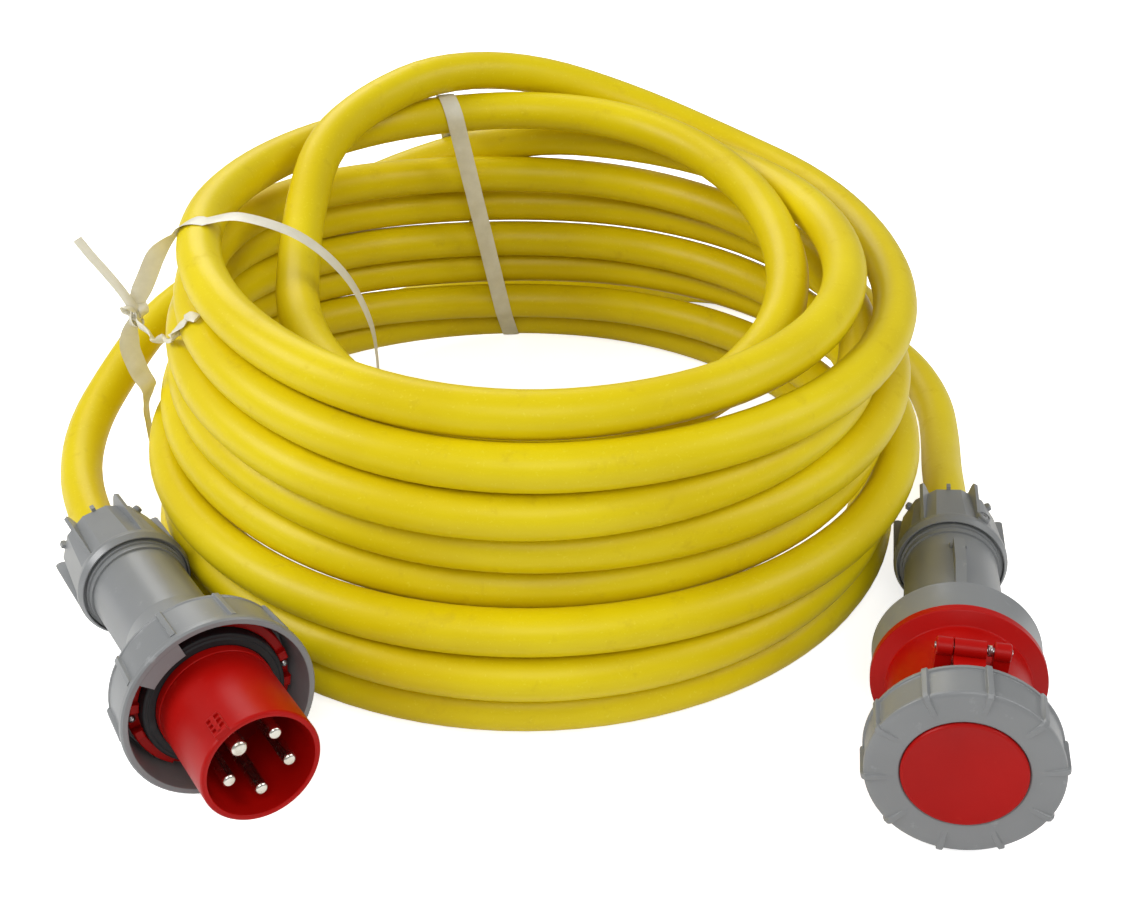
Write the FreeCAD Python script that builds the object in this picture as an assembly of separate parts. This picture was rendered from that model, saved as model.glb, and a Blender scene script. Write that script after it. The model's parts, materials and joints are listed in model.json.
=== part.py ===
import FreeCAD, Part
import math
import os
from FreeCAD import Matrix, Placement, Vector

# Shore power cord: a five core rubber cable wound in a loose coil, with a pin
# plug at one end and a socket connector with a hinged lid at the other.
# Millimetres, +Z up. The cord lies on the plane z = 0.

# Cable
cord_diameter = 30.4
core_diameter = 7.2
core_circle_radius = 7.6
core_count = 5
turn_gap = 1.1            # air between turns that lie on each other
cord_sides = 10

# Middle and lowest point of the whole part, measured from the middle of the coil
part_middle_x = -2.79
part_middle_y = -10.83
part_bottom = 0.2

# Route of the coil: mark, reach and height. A mark is a quarter turn, counted
# clockwise from above: 0 left, 1 back, 2 right, 3 front, 4 left again.
coil_start = [(0.38, 312, 110), (0.7, 292, 158), (1, 268, 192), (2, 223, 205), (3, 228, 204)]
coil_dive = [(4, 230, 228), (5, 234, 227), (6, 188, 190), (7, 178, 158)]
coil_arch = [(8, 165, 194), (8.5, 203, 249), (8.85, 242, 260), (9.12, 268, 232), (9.4, 280, 196),
             (10, 262, 178), (11, 245, 178)]
coil_second = [(12, 237, 197), (13, 265, 160), (14, 243, 152), (15, 257, 149)]
coil_third = [(16, 247, 168), (17, 270, 126), (18, 262, 128), (19, 240, 122)]
coil_fourth = [(20, 255, 138), (21, 266, 100), (22, 257, 99), (23, 229, 94)]
coil_fifth = [(24, 259, 110), (25, 266, 71), (26, 272, 75), (27, 257, 74)]
coil_sixth = [(28, 263, 79), (29, 251, 44), (30, 259, 47), (31, 272, 45)]
coil_seventh = [(32, 257, 46), (33, 271, 18.6), (34, 262, 15.4), (35, 262, 15.4)]
coil_end = [(36, 262, 18.6), (36.5, 304, 15.8), (37, 346, 15.4), (37.3, 364, 15.4)]
coil_stations = (coil_start + coil_dive + coil_arch + coil_second + coil_third + coil_fourth
                 + coil_fifth + coil_sixth + coil_seventh + coil_end)
settle_rounds = 400
settle_rate = 0.8
settle_done = 0.15
held_stations_at_end = 3
lift_over_strap = 3.4

# Routes of the two tails between the gland nuts and the coil, chosen by hand
plug_tail_points = [(-336.5, -38, 44), (-343, 18, 54), (-332, 70, 68)]
connector_tail_points = [(317.8, 2.2, 25), (328.8, 54.2, 17.4), (336.5, 108.7, 15.4), (332.7, 163.7, 15.4),
                         (314.8, 215.7, 15.4), (283.3, 260.7, 15.4)]
nut_lead_in = 38.0
coil_lead_in = 46.0

# Where the two ends lie: the front plane of the gland nut, turned about the
# vertical (yaw) and raised (pitch)
plug_place = (-263.5, -171.8, 47.8)
plug_yaw = 31.7
plug_pitch = 4.5
connector_place = (291.8, -141.0, 41.6)
connector_yaw = -10.6
connector_pitch = 4.6

# Gland nut, the same at both ends. Local z runs to the mating face and is 0
# at the nut's front.
nut_length = 50.0
nut_back_radius = 30.5
nut_front_radius = 33.0
nut_flats = 16
nut_rim_radius = 37.4
nut_rim_width = 8.0
nut_rim_chamfer = 2.4
nut_wall_back = 11.0
nut_thread_radius = 28.2
nut_thread_clearance = 0.3
wing_count = 8
wing_thickness = 3.6
wing_radius = 37.0
wing_foot_radius = 28.8
wing_overhang = 3.6
rib_height = 1.3
rib_thickness = 2.4
cable_clearance = 1.2
thrust_ring_length = 7.6
seal_radius = 24.8
seal_length = 24.0
fit_gap = 0.3
thrust_gap = 1.1
sleeve_depth = nut_length - nut_wall_back - fit_gap - thrust_ring_length - thrust_gap
stub_behind_nut = 10.0
stub_in_housing = 16.0

# Plug housing
step_radii = (35.2, 33.8, 32.4)
step_length = 4.6
body_radius = 31.0
body_straight_end = 82.0
flare_mid = (102.0, 34.5)
flare_end = (120.0, 44.5)
wall = 3.2
ring_seat_radius = 46.8
ring_shoulder_radius = 49.0
ring_back = 128.0
ring_back_wall = 3.6
plug_flange_radius = 51.0
plug_flange_front = 137.0

# Plug locking ring
ring_front = 166.0
ring_back_radius = 56.6
ring_front_radius = 58.6
ring_lip_radius = 59.8
ring_lip_width = 4.0
ring_wall = 3.4
ring_rib_count = 10
ring_rib_width = 3.0
ring_rib_height = 1.5
ring_lug_count = 3
ring_lug_span = 30.0
ring_lug_inner_radius = 51.6
ring_lug_width = 7.0
ring_lug_angle = 150.0
ring_rib_angle = 12.0

# Plug insert: red flange and shroud, with the contact carrier inside
insert_flange_radius = 50.4
insert_flange_width = 8.0
insert_step_radius = 41.0
insert_step_width = 4.0
shroud_radius = 35.5
shroud_wall = 3.7
shroud_front = 230.0
carrier_front = 166.0
carrier_back = 112.0
carrier_clearance = 0.3
key_angle = 123.0         # from the local x axis, anticlockwise seen from the front
key_width = 9.0
key_height = 1.8
key_length = 62.0
pin_circle_radius = 19.0
phase_pin_radius = 4.0
earth_pin_radius = 5.0
pin_tip = 226.0
earth_pin_lead = 3.0
pin_seat_extra = 0.6         # the pins are thicker inside the carrier
pin_back = 96.0
gasket_inner_radius = 41.4
gasket_outer_radius = 47.6
gasket_width = 5.6
bayonet_block_count = 3
bayonet_block_span = 24.0
bayonet_first_angle = 78.0
screw_circle_radius = 44.5
screw_first_angle = 30.0
screw_count = 3

# Connector housing, collar, lid and lid ring
flange_start = (96.0, 36.0)
flange_back = (108.0, 46.4)
flange_radius = 48.2
flange_ridge = 120.0
top_rib_back = 32.0
top_rib_crest = 62.0
top_rib_front = 82.0
top_rib_heights = (6.5, 7.5, 2.0)
top_rib_width = 7.0
top_rib_web = 11.0
collar_back = 133.0
collar_radius = 50.6
collar_face = 155.0
collar_inner_radius = 44.5
collar_step = 161.0
socket_radius = 43.0
socket_front = 212.0
socket_clearance = 0.8
lug_first_angle = 330.0
lug_pitch = 90.0
lug_count = 3
lug_span = 28.0
lug_turn = 45.0
lug_radius = 50.4
lug_back = 209.6
cam_inner_radius = 46.8
cam_back = 205.2
cam_width = 4.0
lid_disc_radius = 35.5
lid_front = 231.5
lid_flange_radius = 51.2
lid_flange_back = 214.0
lid_flange_front = 219.0
lid_step_radius = 46.0
lid_ring_back = 204.8
lid_ring_face = 222.0
lid_ring_front = 227.0
lid_ring_back_radius = 56.2
lid_ring_front_radius = 55.5
lid_ring_bore_radius = 52.0
lid_rib_count = 10
lid_rib_width = 2.6
lid_rib_height = 1.5
lid_rib_angle = 108.0
snap_depth = 1.2
hinge_height = 53.0
hinge_place = 184.0
hinge_barrel_radius = 5.4
hinge_pin_radius = 2.0
hinge_pin_clearance = 0.05
hinge_width = 42.0
hinge_outer_knuckle = 9.6
hinge_centre_knuckle = 18.0
hinge_gap = 0.4
lid_arm_thickness = 3.0
lid_gasket_inner = 33.5
lid_gasket_outer = 42.4
socket_carrier_radius = 31.0
contact_sleeve_wall = 1.2
contact_clearance = 0.25
terminal_back = 96.0
terminal_radius = 6.2
spring_wire = 0.9
spring_turns = 3
spring_air = 0.5

# Tie straps
strap_width = 14.0
strap_thickness = 1.0
strap_air = 0.5
back_strap_mark = 0.86
left_strap_mark = 0.12
strap_tail_centre = (344.0, 64.0)

nodes = {}


def local_frame(place, yaw, pitch):
    """Placement with local z on the mating axis, local y up and local x to the right."""
    turn = math.radians(yaw)
    rise = math.radians(pitch)
    axis = Vector(math.sin(turn) * math.cos(rise), -math.cos(turn) * math.cos(rise), math.sin(rise))
    up = Vector(-math.sin(turn) * math.sin(rise), math.cos(turn) * math.sin(rise), math.cos(rise))
    side = up.cross(axis)
    return Placement(Matrix(side.x, up.x, axis.x, place[0],
                            side.y, up.y, axis.y, place[1],
                            side.z, up.z, axis.z, place[2],
                            0, 0, 0, 1))


plug_frame = local_frame(plug_place, plug_yaw, plug_pitch)
connector_frame = local_frame(connector_place, connector_yaw, connector_pitch)


# Vector helpers for the coil's route

def minus(a, b):
    return (a[0] - b[0], a[1] - b[1], a[2] - b[2])


def plus(a, b, share=1.0):
    return (a[0] + share * b[0], a[1] + share * b[1], a[2] + share * b[2])


def dot(a, b):
    return a[0] * b[0] + a[1] * b[1] + a[2] * b[2]


def length_of(a):
    return math.sqrt(dot(a, a))


def unit(a):
    size = length_of(a)
    return (a[0] / size, a[1] / size, a[2] / size)


def station_point(mark, reach, height):
    angle = mark * math.pi / 2
    return (-reach * math.cos(angle), reach * math.sin(angle), height)


def station_tangent(stations, i):
    """Direction of travel at a station, from the slopes of reach and height."""
    mark, reach, height = stations[i]
    before = stations[max(i - 1, 0)]
    after = stations[min(i + 1, len(stations) - 1)]
    step_in = mark - before[0]
    step_out = after[0] - mark
    if i == 0:
        slopes = [(after[k] - stations[i][k]) / step_out for k in (1, 2)]
    elif i == len(stations) - 1:
        slopes = [(stations[i][k] - before[k]) / step_in for k in (1, 2)]
    else:
        slopes = [((stations[i][k] - before[k]) / step_in * step_out
                   + (after[k] - stations[i][k]) / step_out * step_in) / (step_in + step_out)
                  for k in (1, 2)]
    rise_in = height - before[2]
    rise_out = after[2] - height
    if 0 < i < len(stations) - 1:
        level = rise_in * rise_out <= 0
        slopes[1] = 0.0 if level else 2 / (step_in / rise_in + step_out / rise_out)
    angle = mark * math.pi / 2
    sweep = reach * math.pi / 2
    return unit((-slopes[0] * math.cos(angle) + sweep * math.sin(angle),
                 slopes[0] * math.sin(angle) + sweep * math.cos(angle),
                 slopes[1]))


def biarc_joint(start, start_way, end, end_way):
    """Point where two tangent arcs from start to end meet, and the direction there."""
    chord = minus(end, start)
    both = plus(start_way, end_way)
    a = 2 * (dot(start_way, end_way) - 1)
    b = 2 * dot(chord, both)
    reach = 2 * dot(chord, chord) / (b + math.sqrt(b * b - 4 * a * dot(chord, chord)))
    first = plus(start, start_way, reach)
    second = plus(end, end_way, -reach)
    return plus(first, minus(second, first), 0.5), unit(minus(second, first))


def arc_points(start, way, end, count):
    """Points along the arc that leaves start in the direction way and ends at end."""
    chord = minus(end, start)
    across = unit(chord)
    half = math.acos(max(-1.0, min(1.0, dot(across, way))))
    if half < 1e-6:
        return [plus(start, chord, k / count) for k in range(count)]
    radius = length_of(chord) / 2 / math.sin(half)
    side = unit(plus(across, way, -dot(across, way)))
    out = []
    for k in range(count):
        turn = 2 * half * k / count
        out.append(plus(plus(start, way, radius * math.sin(turn)), side, radius * (1 - math.cos(turn))))
    return out


def coil_arcs(stations):
    """The two arcs of each span as start, direction, end and span number."""
    points = [station_point(*station) for station in stations]
    ways = [station_tangent(stations, i) for i in range(len(stations))]
    arcs = []
    for i in range(len(points) - 1):
        joint, joint_way = biarc_joint(points[i], ways[i], points[i + 1], ways[i + 1])
        arcs.append((points[i], ways[i], joint, i, 0.0))
        arcs.append((joint, joint_way, points[i + 1], i, 0.5))
    return arcs


def coil_points(stations, per_arc):
    """Points along the whole coil, each with its span and its share of that span."""
    points = []
    owners = []
    for start, way, end, span, first in coil_arcs(stations):
        for k, point in enumerate(arc_points(start, way, end, per_arc)):
            points.append(point)
            owners.append((span, first + 0.5 * k / per_arc))
    return points, owners


def near_pairs(points, marks, limit):
    """Pairs of points side by side on different turns that are nearer than limit, across the cord."""
    found = []
    for i in range(1, len(points) - 1):
        step = minus(points[i + 1], points[i - 1])
        half_step = length_of(step) / 2
        along = unit(step)
        for j in range(i + 1, len(points)):
            off = (marks[j] - marks[i]) % 4
            if marks[j] - marks[i] < 2 or 0.25 < off < 3.75:
                continue
            between = minus(points[j], points[i])
            forward = dot(between, along)
            if abs(forward) > half_step:
                continue
            between = plus(between, along, -forward)
            if dot(between, between) < limit * limit:
                found.append((i, j, between, length_of(between)))
    return found


def end_profile(kind):
    """How far the cord keeps from an end's axis, as (local z, radius)."""
    nut = [(-nut_length - 3 * wing_overhang, nut_rim_radius), (step_length, nut_rim_radius)]
    if kind == "connector":
        return nut + [(flange_start[0], flange_start[1]), (flange_ridge, flange_radius)]
    return nut + [(flare_mid[0], flare_mid[1]), (ring_back - 3, ring_back_radius + ring_rib_height),
                  (ring_front, ring_lip_radius)]


def end_push(point, frame, profile):
    """How far, and which way, a point of the cord has to move to lie clear of an end."""
    local = frame.inverse().multVec(Vector(*point))
    if not profile[0][0] <= local.z <= profile[-1][0]:
        return None
    for (z0, r0), (z1, r1) in zip(profile, profile[1:]):
        if z0 <= local.z <= z1:
            radius = r0 + (r1 - r0) * (local.z - z0) / (z1 - z0)
    apart = math.hypot(local.x, local.y)
    need = radius + cord_diameter / 2 + turn_gap - apart
    if need <= 0:
        return None
    way = frame.Rotation.multVec(Vector(local.x, local.y, 0))
    return need, (way.x / apart, way.y / apart, way.z / apart)


def settled(stations):
    """Turns that press into each other, or into an end, are pushed apart until they lie side by side."""
    stations = [list(station) for station in stations]
    floors = [min(station[2], cord_diameter / 2 + lift_over_strap) for station in stations]
    ends = [(plug_frame, end_profile("plug")), (connector_frame, end_profile("connector"))]
    limit = cord_diameter + turn_gap
    for _ in range(settle_rounds):
        points, owners = coil_points(stations, 8)
        marks = [stations[i][0] + (stations[i + 1][0] - stations[i][0]) * share for i, share in owners]
        pushes = [[0.0, 0.0] for _ in stations]
        worst = 0.0
        moves = []
        for i, j, between, apart in near_pairs(points, marks, limit):
            away = (between[0] / apart, between[1] / apart, between[2] / apart)
            moves.append((i, (apart - limit) / 2, away))
            moves.append((j, (limit - apart) / 2, away))
        for i, point in enumerate(points):
            for frame, profile in ends:
                push = end_push(point, frame, profile)
                if push:
                    moves.append((i, push[0], push[1]))
        for i, need, way in moves:
            worst = max(worst, abs(need))
            span, share = owners[i]
            x, y, _height = points[i]
            outward = (way[0] * x + way[1] * y) / math.hypot(x, y)
            for station, weight in ((span, 1 - share), (span + 1, share)):
                if station < 1 or station > len(stations) - 1 - held_stations_at_end:
                    continue
                for k, push in enumerate((need * weight * outward, need * weight * way[2])):
                    if abs(push) > abs(pushes[station][k]):
                        pushes[station][k] = push
        for station, push, floor in zip(stations, pushes, floors):
            station[1] += settle_rate * push[0]
            station[2] = max(floor, station[2] + settle_rate * push[1])
        if worst < settle_done:
            break
    return stations


# Solid helpers. Profiles are lists of (radius, z) about the local z axis.

def turned(profile, angle=360, start=0):
    points = [Vector(r, 0, z) for r, z in profile]
    face = Part.Face(Part.makePolygon(points + points[:1]))
    solid = face.revolve(Vector(0, 0, 0), Vector(0, 0, 1), angle)
    if start:
        solid.rotate(Vector(0, 0, 0), Vector(0, 0, 1), start)
    return solid


def tube(inner, outer, back, front):
    return turned([(inner, back), (outer, back), (outer, front), (inner, front)])


def rod(radius, back, front, x=0.0, y=0.0):
    return Part.makeCylinder(radius, front - back, Vector(x, y, back))


def block(x0, x1, y0, y1, z0, z1):
    return Part.makeBox(x1 - x0, y1 - y0, z1 - z0, Vector(x0, y0, z0))


def plate(points, thickness):
    """Flat plate with a (radius, z) outline, standing in the plane y = 0."""
    corners = [Vector(r, -thickness / 2, z) for r, z in points]
    return Part.Face(Part.makePolygon(corners + corners[:1])).extrude(Vector(0, thickness, 0))


def around(solid, angle):
    copy = solid.copy()
    copy.rotate(Vector(0, 0, 0), Vector(0, 0, 1), angle)
    return copy


def pattern(solid, count, start=0.0, step=None):
    step = 360.0 / count if step is None else step
    return [around(solid, start + k * step) for k in range(count)]


def on_circle(radius, angle):
    return radius * math.cos(math.radians(angle)), radius * math.sin(math.radians(angle))


whole_shift = Vector(-part_middle_x, -part_middle_y, -part_bottom)


def keep(name, shape, frame=None):
    """Put a shape in its place in the part's frame under its node name."""
    placed = shape.copy()
    if frame is not None:
        placed.Placement = frame.multiply(placed.Placement)
    placed.translate(whole_shift)
    nodes[name] = placed


# Gland: nut, thrust ring and seal on the housing's threaded sleeve

def gland_nut():
    wires = []
    for radius, z in ((nut_back_radius, -nut_length), (nut_front_radius, -nut_rim_width / 2)):
        corners = [Vector(*on_circle(radius, 360.0 * k / nut_flats), z) for k in range(nut_flats)]
        wires.append(Part.makePolygon(corners + corners[:1]))
    body = Part.makeLoft(wires, True, True)
    rim = turned([(nut_thread_radius, -nut_rim_width), (nut_rim_radius - nut_rim_chamfer, -nut_rim_width),
                  (nut_rim_radius, -nut_rim_width + nut_rim_chamfer / 2), (nut_rim_radius, -nut_rim_chamfer),
                  (nut_rim_radius - nut_rim_chamfer, 0), (nut_thread_radius, 0)])
    wing = plate([(wing_foot_radius, -nut_length + 2), (wing_foot_radius, -nut_length - wing_overhang),
                  (wing_radius - 1.4, -nut_length - wing_overhang), (wing_radius, -nut_length - wing_overhang + 1.8),
                  (wing_radius, -nut_length + 7), (nut_front_radius + 1.4, -nut_rim_width + 1),
                  (wing_foot_radius, -nut_rim_width + 1)], wing_thickness)
    rib = plate([(wing_foot_radius, -nut_length), (nut_back_radius + rib_height, -nut_length),
                 (nut_front_radius + rib_height, -nut_rim_width + 1), (wing_foot_radius, -nut_rim_width + 1)],
                rib_thickness)
    ribs = pattern(wing, wing_count) + pattern(rib, wing_count, 180.0 / wing_count)
    nut = body.fuse([rim] + ribs)
    shoulder = -nut_length + nut_wall_back
    bore = turned([(0, -nut_length - wing_overhang - 1), (cord_diameter / 2 + cable_clearance + 2, -nut_length - wing_overhang - 1),
                   (cord_diameter / 2 + cable_clearance + 2, -nut_length), (cord_diameter / 2 + cable_clearance, -nut_length + 2),
                   (cord_diameter / 2 + cable_clearance, shoulder), (nut_thread_radius, shoulder),
                   (nut_thread_radius, 1), (0, 1)])
    return nut.cut(bore).removeSplitter()


def thrust_ring():
    back = -nut_length + nut_wall_back + fit_gap
    radius = nut_thread_radius - fit_gap
    return turned([(cord_diameter / 2 + fit_gap, back), (radius, back), (radius, back + thrust_ring_length),
                   (cord_diameter / 2 + fit_gap, back + thrust_ring_length)])


def cable_seal():
    back = -sleeve_depth
    return turned([(cord_diameter / 2, back), (seal_radius, back), (seal_radius, back + seal_length - 4),
                   (seal_radius - 3, back + seal_length), (cord_diameter / 2, back + seal_length)])


def cable_stub():
    return rod(cord_diameter / 2, -nut_length - stub_behind_nut, stub_in_housing)


def cores(front, circle_radius, start_angle):
    """Five insulated cores from the cut end of the sheath to the terminals."""
    solids = []
    for k in range(core_count):
        angle = start_angle + 360.0 / core_count * k
        near = Vector(*on_circle(core_circle_radius, angle), stub_in_housing)
        far = Vector(*on_circle(circle_radius, angle), front)
        knee_a = Vector(near.x, near.y, stub_in_housing + 8)
        knee_b = Vector(far.x, far.y, front - 10)
        lower = Part.makeLoft([Part.Wire(Part.makeCircle(core_diameter / 2, knee_a, Vector(0, 0, 1))),
                               Part.Wire(Part.makeCircle(core_diameter / 2, knee_b, Vector(0, 0, 1)))], True, True)
        start = rod(core_diameter / 2, stub_in_housing, stub_in_housing + 8, near.x, near.y)
        end = rod(core_diameter / 2, front - 10, front, far.x, far.y)
        solids.append(start.fuse([lower, end]).removeSplitter())
    return Part.makeCompound(solids)


def step_profile():
    """Outer outline of the stepped collar in front of the nut."""
    out = [(nut_thread_radius - nut_thread_clearance, -sleeve_depth), (nut_thread_radius - nut_thread_clearance, fit_gap + 0.4)]
    z = fit_gap + 0.4
    for radius in step_radii:
        out.append((radius, z))
        z += step_length
        out.append((radius, z))
    return out


# Plug

def plug_housing():
    outer = step_profile() + [(body_radius, 3 * step_length + fit_gap + 0.4), (body_radius, body_straight_end),
                              (flare_mid[1], flare_mid[0]), (flare_end[1], flare_end[0]),
                              (ring_shoulder_radius, ring_back - 5), (ring_shoulder_radius, ring_back - fit_gap),
                              (ring_seat_radius, ring_back - fit_gap), (ring_seat_radius, ring_back + ring_back_wall + fit_gap),
                              (plug_flange_radius, ring_back + ring_back_wall + fit_gap), (plug_flange_radius, plug_flange_front)]
    inner = [(insert_step_radius, plug_flange_front), (insert_step_radius, ring_back),
             (flare_end[1] - 5, flare_end[0] - 2), (flare_mid[1] - wall, flare_mid[0] - 4),
             (body_radius - wall, body_straight_end - 4), (body_radius - wall, 12.0), (seal_radius - 4, 2.0),
             (seal_radius - 4, -sleeve_depth + seal_length), (seal_radius, -sleeve_depth + seal_length),
             (seal_radius, -sleeve_depth)]
    return turned(outer + inner)


def locking_ring():
    seat = ring_seat_radius + fit_gap
    inner_back = ring_back_radius - ring_wall
    profile = [(seat, ring_back), (ring_back_radius - 2, ring_back), (ring_back_radius, ring_back + 2.5),
               (ring_front_radius, ring_front - ring_lip_width), (ring_lip_radius, ring_front - ring_lip_width),
               (ring_lip_radius, ring_front - 1), (ring_lip_radius - 1, ring_front),
               (ring_front_radius - ring_wall + 0.6, ring_front), (inner_back, ring_back + ring_back_wall),
               (seat, ring_back + ring_back_wall)]
    ring = turned(profile)
    rib = plate([(ring_back_radius - 2, ring_back + 1), (ring_back_radius + ring_rib_height, ring_back + 3),
                 (ring_front_radius + ring_rib_height, ring_front - ring_lip_width + 0.5),
                 (ring_front_radius - 2, ring_front - ring_lip_width + 0.5)], ring_rib_width)
    lug = turned([(ring_lug_inner_radius, ring_front - ring_lug_width), (ring_front_radius - 2, ring_front - ring_lug_width - 3),
                  (ring_front_radius - 2, ring_front - 0.6), (ring_lug_inner_radius, ring_front - 0.6)],
                 ring_lug_span, ring_lug_angle - ring_lug_span / 2)
    return ring.fuse(pattern(rib, ring_rib_count, ring_rib_angle) + pattern(lug, ring_lug_count)).removeSplitter()


def pin_angle(k):
    return key_angle + 360.0 / core_count * k


def plug_insert():
    face = plug_flange_front
    flange_front = face + insert_flange_width
    inner = shroud_radius - shroud_wall
    body = turned([(inner, face), (insert_flange_radius, face), (insert_flange_radius, flange_front),
                   (insert_step_radius, flange_front), (insert_step_radius, flange_front + insert_step_width),
                   (shroud_radius, flange_front + insert_step_width), (shroud_radius, shroud_front - 1),
                   (shroud_radius - 1, shroud_front), (inner, shroud_front)])
    key = plate([(shroud_radius - 1, shroud_front - key_length), (shroud_radius + key_height, shroud_front - key_length + 2),
                 (shroud_radius + key_height, shroud_front - 1.5), (shroud_radius - 1, shroud_front - 0.5)], key_width)
    blocks = []
    for k in range(bayonet_block_count):
        blocks.append(turned([(insert_flange_radius - 6, flange_front - 1), (insert_flange_radius - 0.6, flange_front - 1),
                              (insert_flange_radius - 0.6, flange_front + 5), (insert_flange_radius - 6, flange_front + 5)],
                             bayonet_block_span, bayonet_first_angle + 120 * k))
    body = body.fuse([around(key, key_angle)] + blocks)
    holes = [rod(1.8, face - 1, flange_front + 1, *on_circle(screw_circle_radius, screw_first_angle + 120 * k)) for k in range(screw_count)]
    return body.cut(holes[0].fuse(holes[1:])).removeSplitter()


def flange_screws(face, front):
    """Screws that clamp the insert to the housing, heads in the flange."""
    screws = []
    for k in range(screw_count):
        x, y = on_circle(screw_circle_radius, screw_first_angle + 120 * k)
        screws.append(rod(1.5, face + 0.2, front, x, y).fuse(rod(2.8, front, front + 1.8, x, y)))
    return Part.makeCompound(screws)


def plug_contact_carrier():
    radius = shroud_radius - shroud_wall - carrier_clearance
    carrier = turned([(0, carrier_back), (radius - 5, carrier_back), (radius - 5, plug_flange_front - 8),
                      (radius, plug_flange_front - 8), (radius, carrier_front), (0, carrier_front)])
    holes = []
    for k in range(core_count):
        hole_radius = (earth_pin_radius if k == 0 else phase_pin_radius) + pin_seat_extra + 0.02
        holes.append(rod(hole_radius, carrier_back - 1, carrier_front + 1, *on_circle(pin_circle_radius, pin_angle(k))))
    return carrier.cut(holes[0].fuse(holes[1:]))


def contact_pin(radius, tip, angle):
    """Pin with a domed tip in front and a terminal head behind."""
    seat = radius + pin_seat_extra
    profile = [(0, pin_back), (terminal_radius, pin_back), (terminal_radius, carrier_back - 0.2),
               (seat, carrier_back - 0.2), (seat, carrier_front), (radius, carrier_front),
               (radius, tip - radius * 0.45)]
    steps = 3
    for k in range(1, steps):
        lean = math.pi / 2 * k / steps
        profile.append((radius * math.cos(lean), tip - radius * 0.45 * (1 - math.sin(lean))))
    profile.append((0, tip))
    pin = turned(profile)
    well = rod(core_diameter / 2 + 0.1, pin_back - 1, pin_back + 9)
    pin = pin.cut(well)
    pin.translate(Vector(*on_circle(pin_circle_radius, angle), 0))
    return pin


def flange_gasket():
    back = plug_flange_front + insert_flange_width
    ring = tube(gasket_inner_radius, gasket_outer_radius, back, back + gasket_width)
    cuts = []
    for k in range(bayonet_block_count):
        cuts.append(turned([(insert_flange_radius - 6.4, back - 1), (insert_flange_radius, back - 1),
                            (insert_flange_radius, back + gasket_width + 1), (insert_flange_radius - 6.4, back + gasket_width + 1)],
                           bayonet_block_span + 1.2, bayonet_first_angle + 120 * k - 0.6))
    for k in range(screw_count):
        cuts.append(rod(3.2, back - 1, back + gasket_width + 1, *on_circle(screw_circle_radius, screw_first_angle + 120 * k)))
    return ring.cut(cuts[0].fuse(cuts[1:]))


# Connector

def connector_housing():
    outer = step_profile() + [(body_radius, 3 * step_length + fit_gap + 0.4), (body_radius + 1.4, flange_start[0] - 14),
                              (flange_start[1], flange_start[0]), (flange_back[1], flange_back[0]),
                              (flange_radius, flange_back[0] + 2), (flange_radius, flange_ridge),
                              (flange_radius + 0.8, flange_ridge + 0.8), (flange_radius + 0.8, collar_back)]
    inner = [(socket_radius - 3, collar_back), (socket_radius - 3, flange_back[0] + 4),
             (body_radius - wall, flange_start[0] - 4), (body_radius - wall, 12.0), (seal_radius - 4, 2.0),
             (seal_radius - 4, -sleeve_depth + seal_length), (seal_radius, -sleeve_depth + seal_length),
             (seal_radius, -sleeve_depth)]
    body = turned(outer + inner)
    foot = body_radius - 1
    back, crest, front = (body_radius + height for height in top_rib_heights)
    rib = around(plate([(foot, top_rib_back), (back, top_rib_back), (crest, top_rib_crest), (front, top_rib_front),
                        (foot, top_rib_front)], top_rib_width), 90)
    web = block(-top_rib_web / 2, top_rib_web / 2, foot, body_radius + 2.2, top_rib_back - 2, top_rib_back + 3)
    return body.fuse([rib, web]).removeSplitter()


def hinge_knuckle(x0, x1):
    barrel = Part.makeCylinder(hinge_barrel_radius, x1 - x0, Vector(x0, hinge_height, hinge_place), Vector(1, 0, 0))
    return barrel


def hinge_bore(radius):
    return Part.makeCylinder(radius, hinge_width + 4, Vector(-hinge_width / 2 - 2, hinge_height, hinge_place), Vector(1, 0, 0))


def connector_collar():
    """Red collar with the socket mouth, the hinge knuckles and the bayonet lugs."""
    mouth = shroud_radius + socket_clearance
    profile = [(mouth, collar_back), (collar_radius - 1.5, collar_back), (collar_radius, collar_back + 8),
               (collar_radius, collar_face - 4), (collar_radius - 2.5, collar_face), (collar_inner_radius + 1.5, collar_face),
               (collar_inner_radius, collar_step), (socket_radius, collar_step), (socket_radius, socket_front),
               (mouth, socket_front)]
    body = turned(profile)
    lugs = []
    for k in range(lug_count):
        lugs.append(turned([(socket_radius - 1, lug_back), (lug_radius, lug_back), (lug_radius, socket_front),
                            (socket_radius - 1, socket_front)], lug_span, lug_first_angle - lug_pitch * k - lug_span))
    half = hinge_width / 2
    ears = []
    for x0 in (-half, half - hinge_outer_knuckle):
        x1 = x0 + hinge_outer_knuckle
        ears.append(hinge_knuckle(x0, x1))
        ears.append(block(x0, x1, socket_radius - 6, hinge_height, hinge_place - hinge_barrel_radius, hinge_place + 2))
        ears.append(block(x0, x1, socket_radius - 6, hinge_height - 3, collar_face - 1, hinge_place))
    body = body.fuse(lugs + ears)
    key_way = plate([(mouth - 2, collar_back - 1), (mouth + key_height + 0.6, collar_back - 1),
                     (mouth + key_height + 0.6, socket_front + 1), (mouth - 2, socket_front + 1)], key_width + 1.2)
    inside = rod(mouth, collar_back - 1, socket_front + 1)
    return body.cut([hinge_bore(hinge_pin_radius), inside, around(key_way, 270)]).removeSplitter()


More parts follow.
